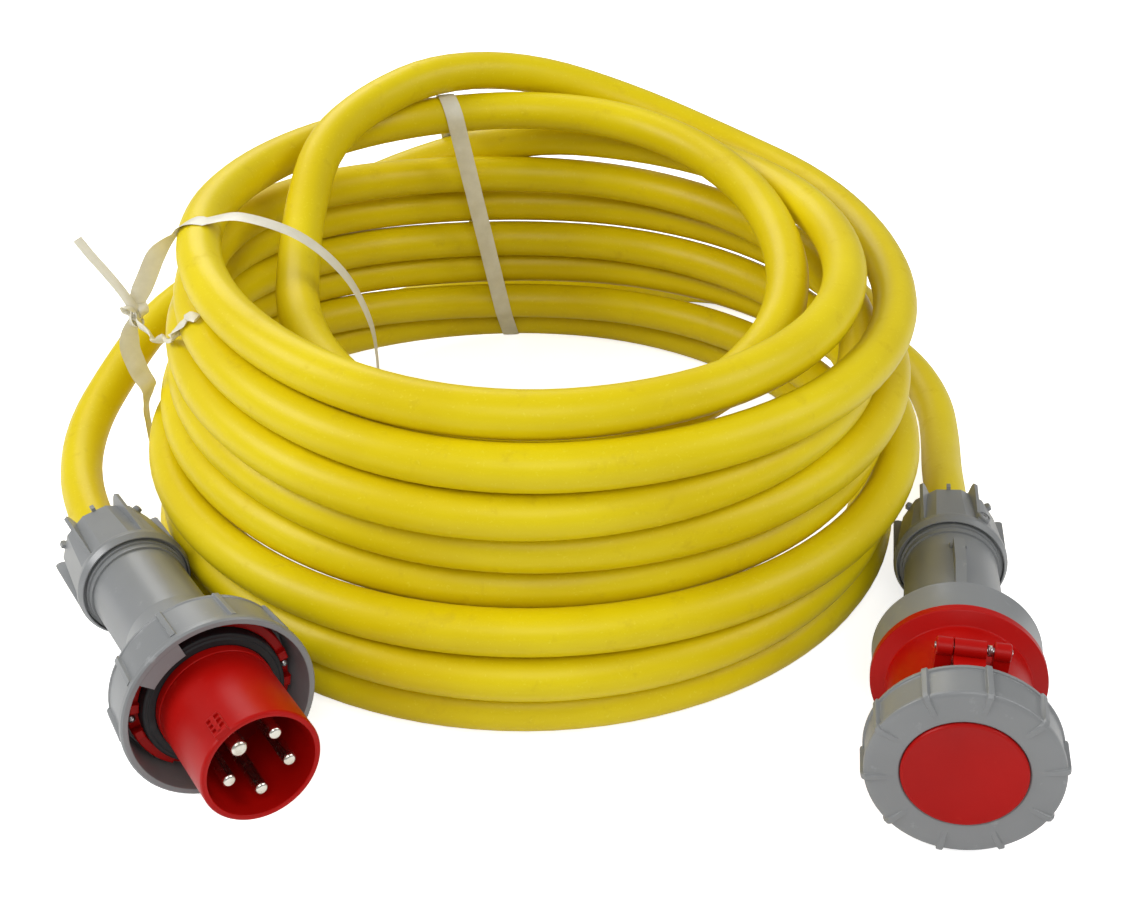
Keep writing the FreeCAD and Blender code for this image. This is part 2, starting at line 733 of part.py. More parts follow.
def socket_carrier():
    carrier = turned([(0, carrier_back), (socket_radius - 3.3, carrier_back), (socket_radius - 3.3, collar_back - 0.2),
                      (socket_carrier_radius, collar_back - 0.2), (socket_carrier_radius, socket_front - 2),
                      (0, socket_front - 2)])
    holes = []
    for k in range(core_count):
        radius = (earth_pin_radius if k == 0 else phase_pin_radius) + contact_clearance + contact_sleeve_wall + 0.02
        holes.append(rod(radius, carrier_back - 1, socket_front, *on_circle(pin_circle_radius, 270 - 72 * k)))
    return carrier.cut(holes[0].fuse(holes[1:]))


def contact_sleeve(pin_radius, angle):
    inner = pin_radius + contact_clearance
    outer = inner + contact_sleeve_wall
    sleeve = turned([(0, terminal_back + 10), (terminal_radius, terminal_back + 10), (terminal_radius, carrier_back - 0.2),
                     (outer, carrier_back - 0.2), (outer, socket_front - 4), (inner, socket_front - 4),
                     (inner, carrier_back + 30), (0, carrier_back + 30)])
    head = tube(core_diameter / 2 + 0.1, terminal_radius, terminal_back, terminal_back + 10)
    sleeve = sleeve.fuse(head)
    sleeve.translate(Vector(*on_circle(pin_circle_radius, angle), 0))
    return sleeve.removeSplitter()


def lid():
    profile = [(0, lid_flange_back), (lid_flange_radius, lid_flange_back), (lid_flange_radius, lid_flange_front),
               (lid_step_radius, lid_flange_front), (lid_step_radius, lid_ring_face - fit_gap),
               (lid_disc_radius - snap_depth, lid_ring_face - fit_gap), (lid_disc_radius - snap_depth, lid_ring_front - 1.6),
               (lid_disc_radius, lid_ring_front - 1.2), (lid_disc_radius, lid_front - 1), (lid_disc_radius - 1.2, lid_front),
               (0, lid_front)]
    cap = turned(profile)
    groove = tube(lid_gasket_inner, lid_gasket_outer, lid_flange_back - 1, lid_flange_back + 1.6)
    half = hinge_centre_knuckle / 2
    shift = hinge_outer_knuckle + hinge_gap - hinge_width / 2
    arm_top = cam_inner_radius + 0.4 + lid_arm_thickness
    arm = block(shift, shift + 2 * half, arm_top - lid_arm_thickness, arm_top, hinge_place, lid_flange_back + 1)
    barrel = hinge_knuckle(shift, shift + 2 * half)
    return cap.cut(groove).fuse([arm, barrel]).cut(hinge_bore(hinge_pin_radius + hinge_pin_clearance)).removeSplitter()


def lid_gasket():
    return tube(lid_gasket_inner, lid_gasket_outer, socket_front + fit_gap, lid_flange_back + 1.6)


def lid_ring():
    bore = lid_disc_radius + fit_gap
    profile = [(lid_ring_bore_radius, lid_ring_back), (lid_ring_back_radius - 1, lid_ring_back),
               (lid_ring_back_radius, lid_ring_back + 1.5), (lid_ring_front_radius + 0.8, lid_ring_front - 3),
               (lid_ring_front_radius - 2, lid_ring_front), (bore, lid_ring_front), (bore, lid_ring_front - 1.4),
               (bore - snap_depth, lid_ring_front - 2), (bore - snap_depth, lid_ring_face),
               (lid_ring_bore_radius, lid_ring_face)]
    ring = turned(profile)
    rib = plate([(lid_ring_back_radius - 3, lid_ring_back), (lid_ring_back_radius + lid_rib_height, lid_ring_back + 0.6),
                 (lid_ring_front_radius + lid_rib_height, lid_ring_front - 2.2), (lid_ring_front_radius - 1, lid_ring_front + 0.7),
                 (lid_disc_radius + 7, lid_ring_front + 0.5), (lid_disc_radius + 7, lid_ring_front - 1),
                 (lid_ring_front_radius - 3, lid_ring_front - 3)], lid_rib_width)
    cam = turned([(cam_inner_radius, cam_back), (lid_ring_bore_radius + 1, cam_back), (lid_ring_bore_radius + 1, cam_back + cam_width),
                  (cam_inner_radius, cam_back + cam_width)], lug_span,
                 lug_first_angle - lug_span + lug_turn)
    cams = pattern(cam, lug_count, 0, -lug_pitch)
    return ring.fuse(pattern(rib, lid_rib_count, lid_rib_angle) + cams).removeSplitter()


def hinge_pin():
    return Part.makeCylinder(hinge_pin_radius, hinge_width + 1.5, Vector(-hinge_width / 2 - 0.75, hinge_height, hinge_place),
                             Vector(1, 0, 0))


def hinge_spring():
    """Wire wound round the pin in the gap beside the lid's knuckle."""
    start = hinge_outer_knuckle + 2 * hinge_gap + hinge_centre_knuckle - hinge_width / 2
    room = hinge_width / 2 - hinge_outer_knuckle - hinge_gap - start - spring_wire
    radius = hinge_pin_radius + spring_air + spring_wire / 2
    line = Part.makeHelix(room / spring_turns, room, radius)
    corners = [Vector(radius + spring_wire / 2 * math.cos(math.pi / 3 * k), 0, spring_wire / 2 * math.sin(math.pi / 3 * k))
               for k in range(6)]
    section = Part.makePolygon(corners + corners[:1])
    wire = Part.Wire(line).makePipeShell([section], True, True)
    wire.rotate(Vector(0, 0, 0), Vector(0, 1, 0), 90)
    wire.translate(Vector(start + spring_wire / 2, hinge_height, hinge_place))
    return wire


# Cable

def round_section(point, way):
    """Wire of flats around the cord's line, with its corners on the cord's surface."""
    radius = cord_diameter / 2
    along = Vector(*way)
    level = Vector(0, 0, 1).cross(along).normalize()
    upright = along.cross(level)
    corners = []
    for k in range(cord_sides):
        turn = 2 * math.pi * k / cord_sides
        corners.append(Vector(*point) + level * (radius * math.cos(turn)) + upright * (radius * math.sin(turn)))
    return Part.makePolygon(corners + corners[:1])


def coil_ends(stations):
    """Where the coil's straight ends stop, one cord diameter out, and the way the cord travels there."""
    first_way = station_tangent(stations, 0)
    last_way = station_tangent(stations, len(stations) - 1)
    first = plus(station_point(*stations[0]), first_way, -cord_diameter)
    last = plus(station_point(*stations[-1]), last_way, cord_diameter)
    return (first, first_way), (last, last_way)


def coil_solid(stations):
    edges = []
    for start, way, end, _span, _share in coil_arcs(stations):
        middle = arc_points(start, way, end, 2)[1]
        edges.append(Part.Arc(Vector(*start), Vector(*middle), Vector(*end)).toShape())
    first, last = coil_ends(stations)
    edges.insert(0, Part.LineSegment(Vector(*first[0]), Vector(*station_point(*stations[0]))).toShape())
    edges.append(Part.LineSegment(Vector(*station_point(*stations[-1])), Vector(*last[0])).toShape())
    path = Part.Wire(edges)
    shell = Part.BRepOffsetAPI.MakePipeShell(path)
    shell.add(round_section(*first))
    shell.build()
    shell.makeSolid()
    return shell.shape(), path.Length


def rounded_path(points):
    """Straight runs joined by the largest arcs that the runs allow, with the radii."""
    edges = []
    radii = []
    start = points[0]
    for i in range(1, len(points) - 1):
        into = points[i] - points[i - 1]
        out = points[i + 1] - points[i]
        turn = into.getAngle(out)
        shorter = min(into.Length, out.Length)
        setback = 0.45 * shorter
        radii.append(setback / math.tan(turn / 2))
        a = points[i] - into * (setback / into.Length)
        b = points[i] + out * (setback / out.Length)
        heart = (b + a) * 0.5 - points[i]
        bulge = points[i] + heart * ((radii[-1] / math.cos(turn / 2) - radii[-1]) / heart.Length)
        edges.append(Part.LineSegment(start, a).toShape())
        edges.append(Part.Arc(a, bulge, b).toShape())
        start = b
    edges.append(Part.LineSegment(start, points[-1]).toShape())
    return Part.Wire(edges), radii


def tail_route(frame, middle_points, coil_end, away):
    """From the gland's stub through the chosen points to the coil's straight end."""
    back = -nut_length - stub_behind_nut
    leave = [frame.multVec(Vector(0, 0, back)), frame.multVec(Vector(0, 0, back - nut_lead_in))]
    return leave + [Vector(*point) for point in middle_points] + [coil_end + away * coil_lead_in, coil_end]


def tail_solid(points, name):
    path, radii = rounded_path(points)
    first = (points[1] - points[0]).normalize()
    section = Part.Wire(Part.makeCircle(cord_diameter / 2, points[0], first))
    shell = Part.BRepOffsetAPI.MakePipeShell(path)
    shell.add(section)
    shell.build()
    shell.makeSolid()
    solid = shell.shape()
    expected = math.pi * cord_diameter ** 2 / 4 * path.Length
    print(name, "length", round(path.Length, 1), "radii", [round(r) for r in radii],
          "volume share", round(solid.Volume / expected, 4))
    return solid, path.Length


def hull(points):
    """Convex outline of flat points, anticlockwise."""
    points = sorted(set(points))

    def half(order):
        line = []
        for point in order:
            while len(line) > 1 and ((line[-1][0] - line[-2][0]) * (point[1] - line[-2][1])
                                     - (line[-1][1] - line[-2][1]) * (point[0] - line[-2][0])) <= 0:
                line.pop()
            line.append(point)
        return line[:-1]
    return half(points) + half(points[::-1])


def tie_strap(stations, mark, with_tail):
    """Band pulled round all the turns at one place of the coil."""
    points, owners = coil_points(stations, 24)
    out = station_point(mark, 1, 0)
    last_tied_span = len(stations) - len(coil_end)
    radius = cord_diameter / 2
    discs = []
    for (x, y, z), (span, _share) in zip(points, owners):
        reach = x * out[0] + y * out[1]
        beside = max(0, abs(x * out[1] - y * out[0]) - strap_width / 2)
        if beside < radius and reach > 0 and span <= last_tied_span:
            discs.append((reach, z, math.sqrt(radius ** 2 - beside ** 2)))
    if with_tail:
        discs += [strap_tail_centre + (radius,), (strap_tail_centre[0], strap_tail_centre[1] + 4, radius)]
    solids = []
    for air in (strap_air + strap_thickness, strap_air):
        rim = [(r + (wide + air) * math.cos(math.pi / 12 * k), z + (wide + air) * math.sin(math.pi / 12 * k))
               for r, z, wide in discs for k in range(24)]
        outline = [Vector(r, -strap_width / 2, z) for r, z in hull([(round(r, 3), round(z, 3)) for r, z in rim])]
        solids.append(Part.Face(Part.makePolygon(outline + outline[:1])).extrude(Vector(0, strap_width, 0)))
    band = solids[0].cut(solids[1])
    return around(band, 180 - 90 * mark)


def make_gland(prefix, frame):
    keep(prefix + "_gland_nut", gland_nut(), frame)
    keep(prefix + "_thrust_ring", thrust_ring(), frame)
    keep(prefix + "_cable_seal", cable_seal(), frame)
    keep(prefix + "_cable_end", cable_stub(), frame)


def make_plug():
    frame = plug_frame
    make_gland("plug", frame)
    keep("plug_housing", plug_housing(), frame)
    keep("plug_locking_ring", locking_ring(), frame)
    keep("plug_insert", plug_insert(), frame)
    keep("plug_contact_carrier", plug_contact_carrier(), frame)
    keep("plug_flange_gasket", flange_gasket(), frame)
    keep("plug_flange_screws", flange_screws(plug_flange_front, plug_flange_front + insert_flange_width), frame)
    keep("plug_earth_pin", contact_pin(earth_pin_radius, pin_tip + earth_pin_lead, pin_angle(0)), frame)
    for k in range(1, core_count):
        keep("plug_phase_pin_%d" % k, contact_pin(phase_pin_radius, pin_tip, pin_angle(k)), frame)
    keep("plug_cores", cores(pin_back + 8, pin_circle_radius, key_angle), frame)


def make_connector():
    frame = connector_frame
    make_gland("connector", frame)
    keep("connector_housing", connector_housing(), frame)
    keep("connector_collar", connector_collar(), frame)
    keep("connector_contact_carrier", socket_carrier(), frame)
    keep("connector_earth_sleeve", contact_sleeve(earth_pin_radius, 270), frame)
    for k in range(1, core_count):
        keep("connector_phase_sleeve_%d" % k, contact_sleeve(phase_pin_radius, 270 - 72 * k), frame)
    keep("connector_cores", cores(terminal_back + 9, pin_circle_radius, 270), frame)
    keep("lid", lid(), frame)
    keep("lid_gasket", lid_gasket(), frame)
    keep("lid_locking_ring", lid_ring(), frame)
    keep("lid_hinge_pin", hinge_pin(), frame)
    keep("lid_hinge_spring", hinge_spring(), frame)


def make_cable():
    stations = settled(coil_stations)
    solid, coil_length = coil_solid(stations)
    keep("cable_coil", solid)
    keep("tie_strap_back", tie_strap(stations, back_strap_mark, False))
    keep("tie_strap_left", tie_strap(stations, left_strap_mark, True))
    points, owners = coil_points(stations, 9)
    marks = [stations[i][0] + (stations[i + 1][0] - stations[i][0]) * share for i, share in owners]
    least = min(apart for _i, _j, _between, apart in near_pairs(points, marks, 2 * cord_diameter))
    print("coil length", round(coil_length), "volume", round(solid.Volume), "valid", solid.isValid())
    print("coil radii from", round(min(station[1] for station in stations)), "to",
          round(max(station[1] for station in stations)))
    print("least gap of the coil to itself", round(least - cord_diameter, 2))
    first, last = coil_ends(stations)
    plug_route = tail_route(plug_frame, plug_tail_points, Vector(*first[0]), Vector(*first[1]) * -1)
    tail, plug_length = tail_solid(plug_route, "plug tail")
    keep("cable_tail_plug", tail)
    connector_route = tail_route(connector_frame, connector_tail_points, Vector(*last[0]), Vector(*last[1]))
    tail, connector_length = tail_solid(connector_route, "connector tail")
    keep("cable_tail_connector", tail)
    print("cable length", round(coil_length + plug_length + connector_length))


make_cable()
make_plug()
make_connector()

os.makedirs("parts", exist_ok=True)
whole = Part.makeCompound(list(nodes.values())).BoundBox
print("box", [round(v, 2) for v in (whole.XMin, whole.XMax, whole.YMin, whole.YMax, whole.ZMin, whole.ZMax)])
triangles = 0
for name, shape in nodes.items():
    if not shape.isValid():
        print("not valid:", name)
    shape.exportStep("parts/%s.step" % name)
    tolerance = min(0.5, max(0.01, 0.0002 * shape.BoundBox.DiagonalLength))
    mesh_points, facets = shape.tessellate(tolerance)
    triangles += len(facets)
    print(name, len(shape.Solids), len(facets))
print("nodes", len(nodes), "triangles", triangles)
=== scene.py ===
import json
import math

import bpy
import numpy as np
from mathutils import Matrix, Vector


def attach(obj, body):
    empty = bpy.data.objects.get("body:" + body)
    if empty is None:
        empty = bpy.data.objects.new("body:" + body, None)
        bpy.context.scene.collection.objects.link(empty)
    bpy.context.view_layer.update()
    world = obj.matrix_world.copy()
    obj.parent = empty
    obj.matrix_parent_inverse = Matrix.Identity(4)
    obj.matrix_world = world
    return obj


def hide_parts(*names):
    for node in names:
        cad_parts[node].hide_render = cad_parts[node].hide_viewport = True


# Shore power cord: a yellow rubber cable in a tied coil, with a pin plug and a lidded connector

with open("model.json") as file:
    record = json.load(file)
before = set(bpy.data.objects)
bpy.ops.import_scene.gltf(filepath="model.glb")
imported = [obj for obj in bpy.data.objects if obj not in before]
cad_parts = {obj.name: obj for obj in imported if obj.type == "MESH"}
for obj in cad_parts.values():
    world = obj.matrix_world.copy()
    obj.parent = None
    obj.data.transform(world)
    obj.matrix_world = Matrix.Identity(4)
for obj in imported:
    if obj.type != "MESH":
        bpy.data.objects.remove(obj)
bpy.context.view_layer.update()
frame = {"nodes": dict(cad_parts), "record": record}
solids = frame["nodes"]
mm = 0.001
print("frame loaded,", len(solids), "solids")

partShift = np.array([2.79, 10.83, -0.2])  # from the coil's own middle to the part's origin

cable = {
    "diameter": 30.4, "length": 15.6, "turnGap": 0.8, "liftOverStrap": 3.4,
    "pointsPerTurn": 20, "sideSteps": 7, "pointSteps": 5,
    # settling: rounds, share of each push taken and smoothing along the cable, which keeps still for
    # "stillStart" past its first mark and from the mark "stillFrom" on
    "settleRounds": 500, "settleShare": 0.7, "settleSmooth": 0.15, "stillStart": 0.5, "stillFrom": 36.2,
    # mark, reach and height: a mark is a quarter turn clockwise from above, 0 left, 1 back, 2 right, 3 front
    "stations": [(0.38, 312, 110), (0.7, 292, 158), (1, 268, 192), (2, 223, 205), (3, 228, 204),
                 (4, 230, 228), (5, 234, 227), (6, 188, 190), (7, 178, 158),
                 (8, 165, 194), (8.5, 203, 249), (8.85, 242, 260), (9.12, 268, 232), (9.4, 280, 196),
                 (10, 262, 178), (11, 245, 178), (12, 237, 197), (13, 265, 160),
                 (14, 243, 152), (14.5, 248, 152), (15, 251, 151),
                 (16, 241, 168), (17, 270, 126), (18, 262, 128), (19, 240, 122),
                 (20, 250, 138), (21, 266, 100), (22, 257, 99), (22.5, 250, 95), (23, 241, 91),
                 (24, 257, 110), (25, 266, 71), (26, 269, 75.5), (27, 257, 74),
                 (28, 263, 79), (29, 251, 44), (30, 259, 47), (31, 272, 45),
                 (32, 265, 46), (33, 271, 18.6), (34, 262, 15.4), (35, 262, 15.4),
                 (36, 267, 18.6), (36.5, 304, 15.8), (37, 346, 15.4), (37.3, 364, 15.4)],
    "plugTail": [(-336.5, -38, 44), (-343, 18, 54), (-332, 70, 68)],
    "connectorTail": [(317.8, 2.2, 25), (328.8, 54.2, 17.4), (336.5, 108.7, 15.4), (332.7, 163.7, 15.4),
                      (314.8, 215.7, 15.4), (283.3, 260.7, 15.4)],
    # inside each end the sheath ends at "leaves" on the end's own axis, with points so far apart behind it
    "leaves": 16.0, "nutLead": 38.0, "nutPoints": 4, "coilLead": 46.0,
}
ends = {
    "plug": {"place": (-263.5, -171.8, 47.8), "yaw": 31.7, "pitch": 4.5,
             "keepOff": [(-61, 37.4), (5, 37.4), (102, 34.5), (125, 58.1), (166, 59.8)]},
    "connector": {"place": (291.8, -141.0, 41.6), "yaw": -10.6, "pitch": 4.6,
                  "keepOff": [(-61, 37.4), (5, 37.4), (96, 36.0), (120, 48.2)]},
}


def endFrame(end):
    # z on the end's mating axis, y up and x to the right, in the coil's millimetres
    turn = math.radians(end["yaw"])
    rise = math.radians(end["pitch"])
    axis = Vector((math.sin(turn) * math.cos(rise), -math.cos(turn) * math.cos(rise), math.sin(rise)))
    up = Vector((-math.sin(turn) * math.sin(rise), math.cos(turn) * math.sin(rise), math.cos(rise)))
    side = up.cross(axis)
    turned = Matrix((side, up, axis)).transposed().to_4x4()
    return Matrix.Translation(Vector(end["place"])) @ turned


frames = {name: endFrame(end) for name, end in ends.items()}


def slopesThrough(marks, values):
    # slope at each mark: level at highs and lows, else the harmonic mean of its two sides
    rise = np.diff(values) / np.diff(marks)
    before, after = rise[:-1], rise[1:]
    same = before * after > 0
    middle = np.where(same, 2 * before * after / np.where(same, before + after, 1), 0)
    return np.concatenate([rise[:1], middle, rise[-1:]])


def smoothThrough(marks, values, at):
    # cubic through the values with the slopes above
    marks, values = np.array(marks, float), np.array(values, float)
    slopes = slopesThrough(marks, values)
    i = np.clip(np.searchsorted(marks, at) - 1, 0, len(marks) - 2)
    step = marks[i + 1] - marks[i]
    t = (at - marks[i]) / step
    a, b = values[i], values[i + 1]
    return (a * (1 + 2 * t) * (1 - t) ** 2 + b * t * t * (3 - 2 * t)
            + step * t * (1 - t) * ((1 - t) * slopes[i] - t * slopes[i + 1]))


def offTheEnds(points, gap):
    # how far each point has to move to lie clear of the two ends, as a push for each point
    push = np.zeros_like(points)
    for name, end in ends.items():
        inverse = np.array(frames[name].inverted())
        local = points @ inverse[:3, :3].T + inverse[:3, 3]
        z, radius = np.array(end["keepOff"]).T
        wanted = np.interp(local[:, 2], z, radius) + gap
        apart = np.hypot(local[:, 0], local[:, 1])
        inside = (local[:, 2] > z[0]) & (local[:, 2] < z[-1]) & (apart < wanted)
        short = np.where(inside, wanted - apart, 0)
        away = local * [1, 1, 0] / np.maximum(apart, 1)[:, None] * short[:, None]
        push += away @ np.array(frames[name])[:3, :3].T
    return push


def coilPoints():
    # each turn keeps its angle; its reach and height settle in the upright plane at that angle
    perTurn = cable["pointsPerTurn"]
    step = 4 / perTurn
    marks, reaches, heights = np.array(cable["stations"]).T
    at = np.arange(round(marks[0] / step + 0.5), round(marks[-1] / step) + 1) * step
    reach = smoothThrough(marks, reaches, at)
    height = smoothThrough(marks, heights, at)
    lowest = np.minimum(height, cable["diameter"] / 2 + cable["liftOverStrap"])
    free = ((at > at[0] + cable["stillStart"]) & (at < cable["stillFrom"])).astype(float)
    ray = np.stack([-np.cos(at * math.pi / 2), np.sin(at * math.pi / 2)], 1)
    numbers = np.arange(len(at))
    one, two = np.array([(i, j) for i in numbers for j in range(i + perTurn, len(at), perTurn)]).T
    limit = cable["diameter"] + cable["turnGap"]
    shift = np.zeros((len(at), 2))
    start = np.stack([reach, height], 1)
    for _ in range(cable["settleRounds"]):
        now = start + shift
        between = now[two] - now[one]
        apart = np.hypot(*between.T)
        need = np.clip(limit - apart, 0, None) / apart / 2
        push = np.zeros_like(now)
        np.add.at(push, two, between * need[:, None])
        np.add.at(push, one, -between * need[:, None])
        away = offTheEnds(np.column_stack([ray * now[:, :1], now[:, 1]]), limit / 2)
        push += np.stack([(away[:, :2] * ray).sum(1), away[:, 2]], 1)
        shift += cable["settleShare"] * push * free[:, None]
        bend = shift[:-2] - 2 * shift[1:-1] + shift[2:]
        shift[1:-1] += cable["settleSmooth"] * bend * free[1:-1, None]
        shift[:, 1] = np.maximum(shift[:, 1], lowest - height)
    now = start + shift
    print("coil settled, least gap between turns", round(float(apart.min()) - cable["diameter"], 2), "mm")
    return at, now, np.column_stack([ray * now[:, :1], now[:, 1]])


def cableRoute(coil):
    # out of the plug, along its tail, round the coil and along the other tail into the connector
    lead = cable["diameter"] + cable["coilLead"]
    firstWay = (coil[0] - coil[1]) / np.linalg.norm(coil[0] - coil[1])
    lastWay = (coil[-1] - coil[-2]) / np.linalg.norm(coil[-1] - coil[-2])
    swell = coil.copy()
    swell[1:-1] += (2 * coil[1:-1] - coil[:-2] - coil[2:]) / 8  # a quadratic spline cuts inside its points
    along = [cable["leaves"] - k * cable["nutLead"] for k in range(cable["nutPoints"])]
    leave = {name: [frames[name] @ Vector((0, 0, z)) for z in along] for name in ends}
    points = [*leave["plug"], *cable["plugTail"], coil[0] + firstWay * lead, *swell,
              coil[-1] + lastWay * lead, *cable["connectorTail"][::-1], *leave["connector"][::-1]]
    return (np.array([list(p) for p in points]) + partShift) * mm


def makeCord(name, points):
    data = bpy.data.curves.new(name, "CURVE")
    data.dimensions = "3D"
    data.bevel_depth = cable["diameter"] / 2 * mm
    data.bevel_resolution = cable["sideSteps"]
    data.resolution_u = cable["pointSteps"]
    line = data.splines.new("NURBS")
    line.points.add(len(points) - 1)
    line.points.foreach_set("co", np.column_stack([points, np.ones(len(points))]).ravel())
    line.order_u = 3
    line.use_endpoint_u = True
    cord = bpy.data.objects.new(name, data)
    bpy.context.scene.collection.objects.link(cord)
    return cord


class Value:
    # a shader value: + and * on it, from either side, add Math nodes
    def __init__(self, finish, link):
        self.finish = finish
        self.link = link

    def maths(self, operation, *values):
        return self.finish.node("ShaderNodeMath", {"operation": operation}, dict(enumerate(values)))

    def __add__(self, other):
        return self.maths("ADD", self, other)

    def __radd__(self, other):
        return self.maths("ADD", other, self)

    def __mul__(self, other):
        return self.maths("MULTIPLY", self, other)

    def __rmul__(self, other):
        return self.maths("MULTIPLY", other, self)


class Finish:
    # the nodes of a material or of the world
    def __init__(self, owner):
        self.owner = owner
        owner.use_nodes = True
        self.tree = owner.node_tree
        self.tree.nodes.clear()

    def node(self, kind, settings=None, sockets=None, output=0):
        made = self.tree.nodes.new(kind)
        for name, value in (settings or {}).items():
            setattr(made, name, value)
        for name, value in (sockets or {}).items():
            if isinstance(value, Value):
                self.tree.links.new(value.link, made.inputs[name])
            else:
                made.inputs[name].default_value = value
        return Value(self, made.outputs[output]) if len(made.outputs) else None

    def noise(self, scale, detail, roughness=0.5):
        place = self.node("ShaderNodeTexCoord", output="Object")
        return self.node("ShaderNodeTexNoise", {}, {"Vector": place, "Scale": scale, "Detail": detail,
                                                    "Roughness": roughness})

    def patches(self, scale, detail, low, high, roughness=0.5):
        # noise made 0 below low and 1 above high
        return self.node("ShaderNodeMapRange", {}, {0: self.noise(scale, detail, roughness), 1: low, 2: high,
                                                    3: 0.0, 4: 1.0})

    def blend(self, share, first, second):
        return self.node("ShaderNodeMix", {"data_type": "RGBA"}, {0: share, 6: first, 7: second}, 2)

    def surface(self, relief, deep, strength, **sockets):
        # the shader, with its relief so many millimetres deep
        names = {"colour": "Base Color", "roughness": "Roughness", "metallic": "Metallic",
                 "specular": "Specular IOR Level", "alpha": "Alpha"}
        bump = self.node("ShaderNodeBump", {}, {"Height": relief, "Distance": deep * mm,
                                                "Strength": strength})
        values = {names[key]: value for key, value in sockets.items()}
        shader = self.node("ShaderNodeBsdfPrincipled", {}, {**values, "Normal": bump})
        self.node("ShaderNodeOutputMaterial", {}, {"Surface": shader})
        return self.owner


def newFinish(name):
    return Finish(bpy.data.materials.new(name))


def paint(red, green, blue):
    # a colour as it looks on screen, 0 to 255
    parts = np.array([red, green, blue]) / 255
    linear = np.where(parts < 0.04045, parts / 12.92, ((parts + 0.055) / 1.055) ** 2.4)
    return (*[float(v) for v in linear], 1.0)


def cableRubber():
    # scuffs, and bright specks that are painted highlights, on yellow, over wide waves and fine grain
    finish = newFinish("cableRubber")
    tone = finish.patches(scale=9, detail=3, low=0.35, high=0.7)
    scuff = finish.patches(scale=60, detail=4, low=0.6, high=0.74, roughness=0.65)
    # painted highlights: small pale specks of light painted into the yellow colour
    paintedHighlightSpecks = finish.patches(scale=420, detail=2, low=0.62, high=0.72, roughness=0.6)
    colour = finish.blend(tone, paint(214, 190, 3), paint(226, 205, 8))
    colour = finish.blend(scuff * 0.3, colour, paint(190, 160, 12))
    colour = finish.blend(paintedHighlightSpecks * 0.3, colour, paint(238, 224, 70))
    grain = finish.noise(scale=900, detail=3, roughness=0.6)
    wave = finish.noise(scale=45, detail=2)
    return finish.surface(grain * 0.35 + wave, deep=0.5, strength=0.35, colour=colour,
                          roughness=0.38 + 0.16 * scuff, specular=0.24)


def greyPlastic():
    finish = newFinish("greyPlastic")
    tone = finish.patches(scale=14, detail=3, low=0.3, high=0.7)
    scuff = finish.patches(scale=90, detail=5, low=0.62, high=0.72, roughness=0.7)
    colour = finish.blend(tone, paint(122, 124, 125), paint(133, 135, 136))
    colour = finish.blend(scuff * 0.3, colour, paint(170, 172, 173))
    grain = finish.noise(scale=1300, detail=2)
    return finish.surface(grain, deep=0.1, strength=0.45, colour=colour, roughness=0.33 + 0.18 * scuff,
                          specular=0.7)


def redPlastic(name, deeper, colour, roughness):
    finish = newFinish(name)
    tone = finish.patches(scale=18, detail=3, low=0.3, high=0.7)
    scuff = finish.patches(scale=110, detail=5, low=0.64, high=0.74, roughness=0.7)
    mixed = finish.blend(tone, deeper, colour)
    mixed = finish.blend(scuff * 0.18, mixed, paint(226, 70, 52))
    grain = finish.noise(scale=1300, detail=2)
    return finish.surface(grain, deep=0.08, strength=0.35, colour=mixed, roughness=roughness + 0.14 * scuff,
                          specular=0.16)


def blackRubber():
    finish = newFinish("blackRubber")
    dust = finish.patches(scale=120, detail=4, low=0.55, high=0.8)
    colour = finish.blend(dust * 0.3, paint(28, 28, 30), paint(62, 62, 64))
    grain = finish.noise(scale=700, detail=3, roughness=0.6)
    return finish.surface(grain, deep=0.15, strength=0.5, colour=colour, roughness=0.6, specular=0.4)


def bareMetal(name, clean, stained, scale, low, high, grain, roughness, dulling):
    # clean metal with darker and duller stains
    finish = newFinish(name)
    stain = finish.patches(scale=scale, detail=4, low=low, high=high, roughness=0.6)
    relief = finish.noise(scale=grain, detail=2)
    return finish.surface(relief, deep=0.03, strength=0.3, colour=finish.blend(stain, clean, stained),
                          metallic=1.0, roughness=roughness + dulling * stain)


def pinNickel():
    return bareMetal("pinNickel", paint(226, 222, 212), paint(196, 188, 170), scale=160, low=0.45, high=0.75,
                     grain=500, roughness=0.2, dulling=0.14)


def brightSteel():
    return bareMetal("brightSteel", paint(205, 205, 205), paint(160, 160, 158), scale=260, low=0.4, high=0.8,
                     grain=900, roughness=0.28, dulling=0.15)


def strapFilm():
    # a little see-through, less so in its whiter patches
    finish = newFinish("strapFilm")
    haze = finish.noise(scale=70, detail=4, roughness=0.6)
    colour = finish.blend(haze, paint(220, 214, 190), paint(242, 239, 226))
    fibre = finish.noise(scale=600, detail=3, roughness=0.6)
    return finish.surface(fibre, deep=0.15, strength=0.5, colour=colour, roughness=0.32, specular=0.5,
                          alpha=0.78 + 0.16 * haze)


def coreSkin():
    finish = newFinish("coreSkin")
    grain = finish.noise(scale=400, detail=2)
    colour = finish.blend(grain, paint(70, 48, 34), paint(96, 66, 46))
    return finish.surface(grain, deep=0.05, strength=0.3, colour=colour, roughness=0.45, specular=0.4)


finishes = {
    "cable_rubber": cableRubber(),
    "grey_plastic": greyPlastic(),
    "red_plastic": redPlastic("redPlastic", paint(162, 9, 5), paint(176, 11, 6), roughness=0.36),
    "dark_red_plastic": redPlastic("darkRedPlastic", paint(118, 12, 10), paint(140, 16, 12), roughness=0.46),
    "black_rubber": blackRubber(),
    "nickel": pinNickel(),
    "steel": brightSteel(),
    "strap_plastic": strapFilm(),
    "core_insulation": coreSkin(),
}
print("finishes made,", len(finishes))

# edges over so many degrees stay crisp or get a bevel; then the degrees between points round turned shapes
edges = {"crisp": 35, "bevelOver": 35, "bevelSteps": 2, "sectorSteps": 8,
         "wide": 2.5, "narrow": 3.0, "pin": 10.0, "knuckle": 12.0, "screw": 15.0}


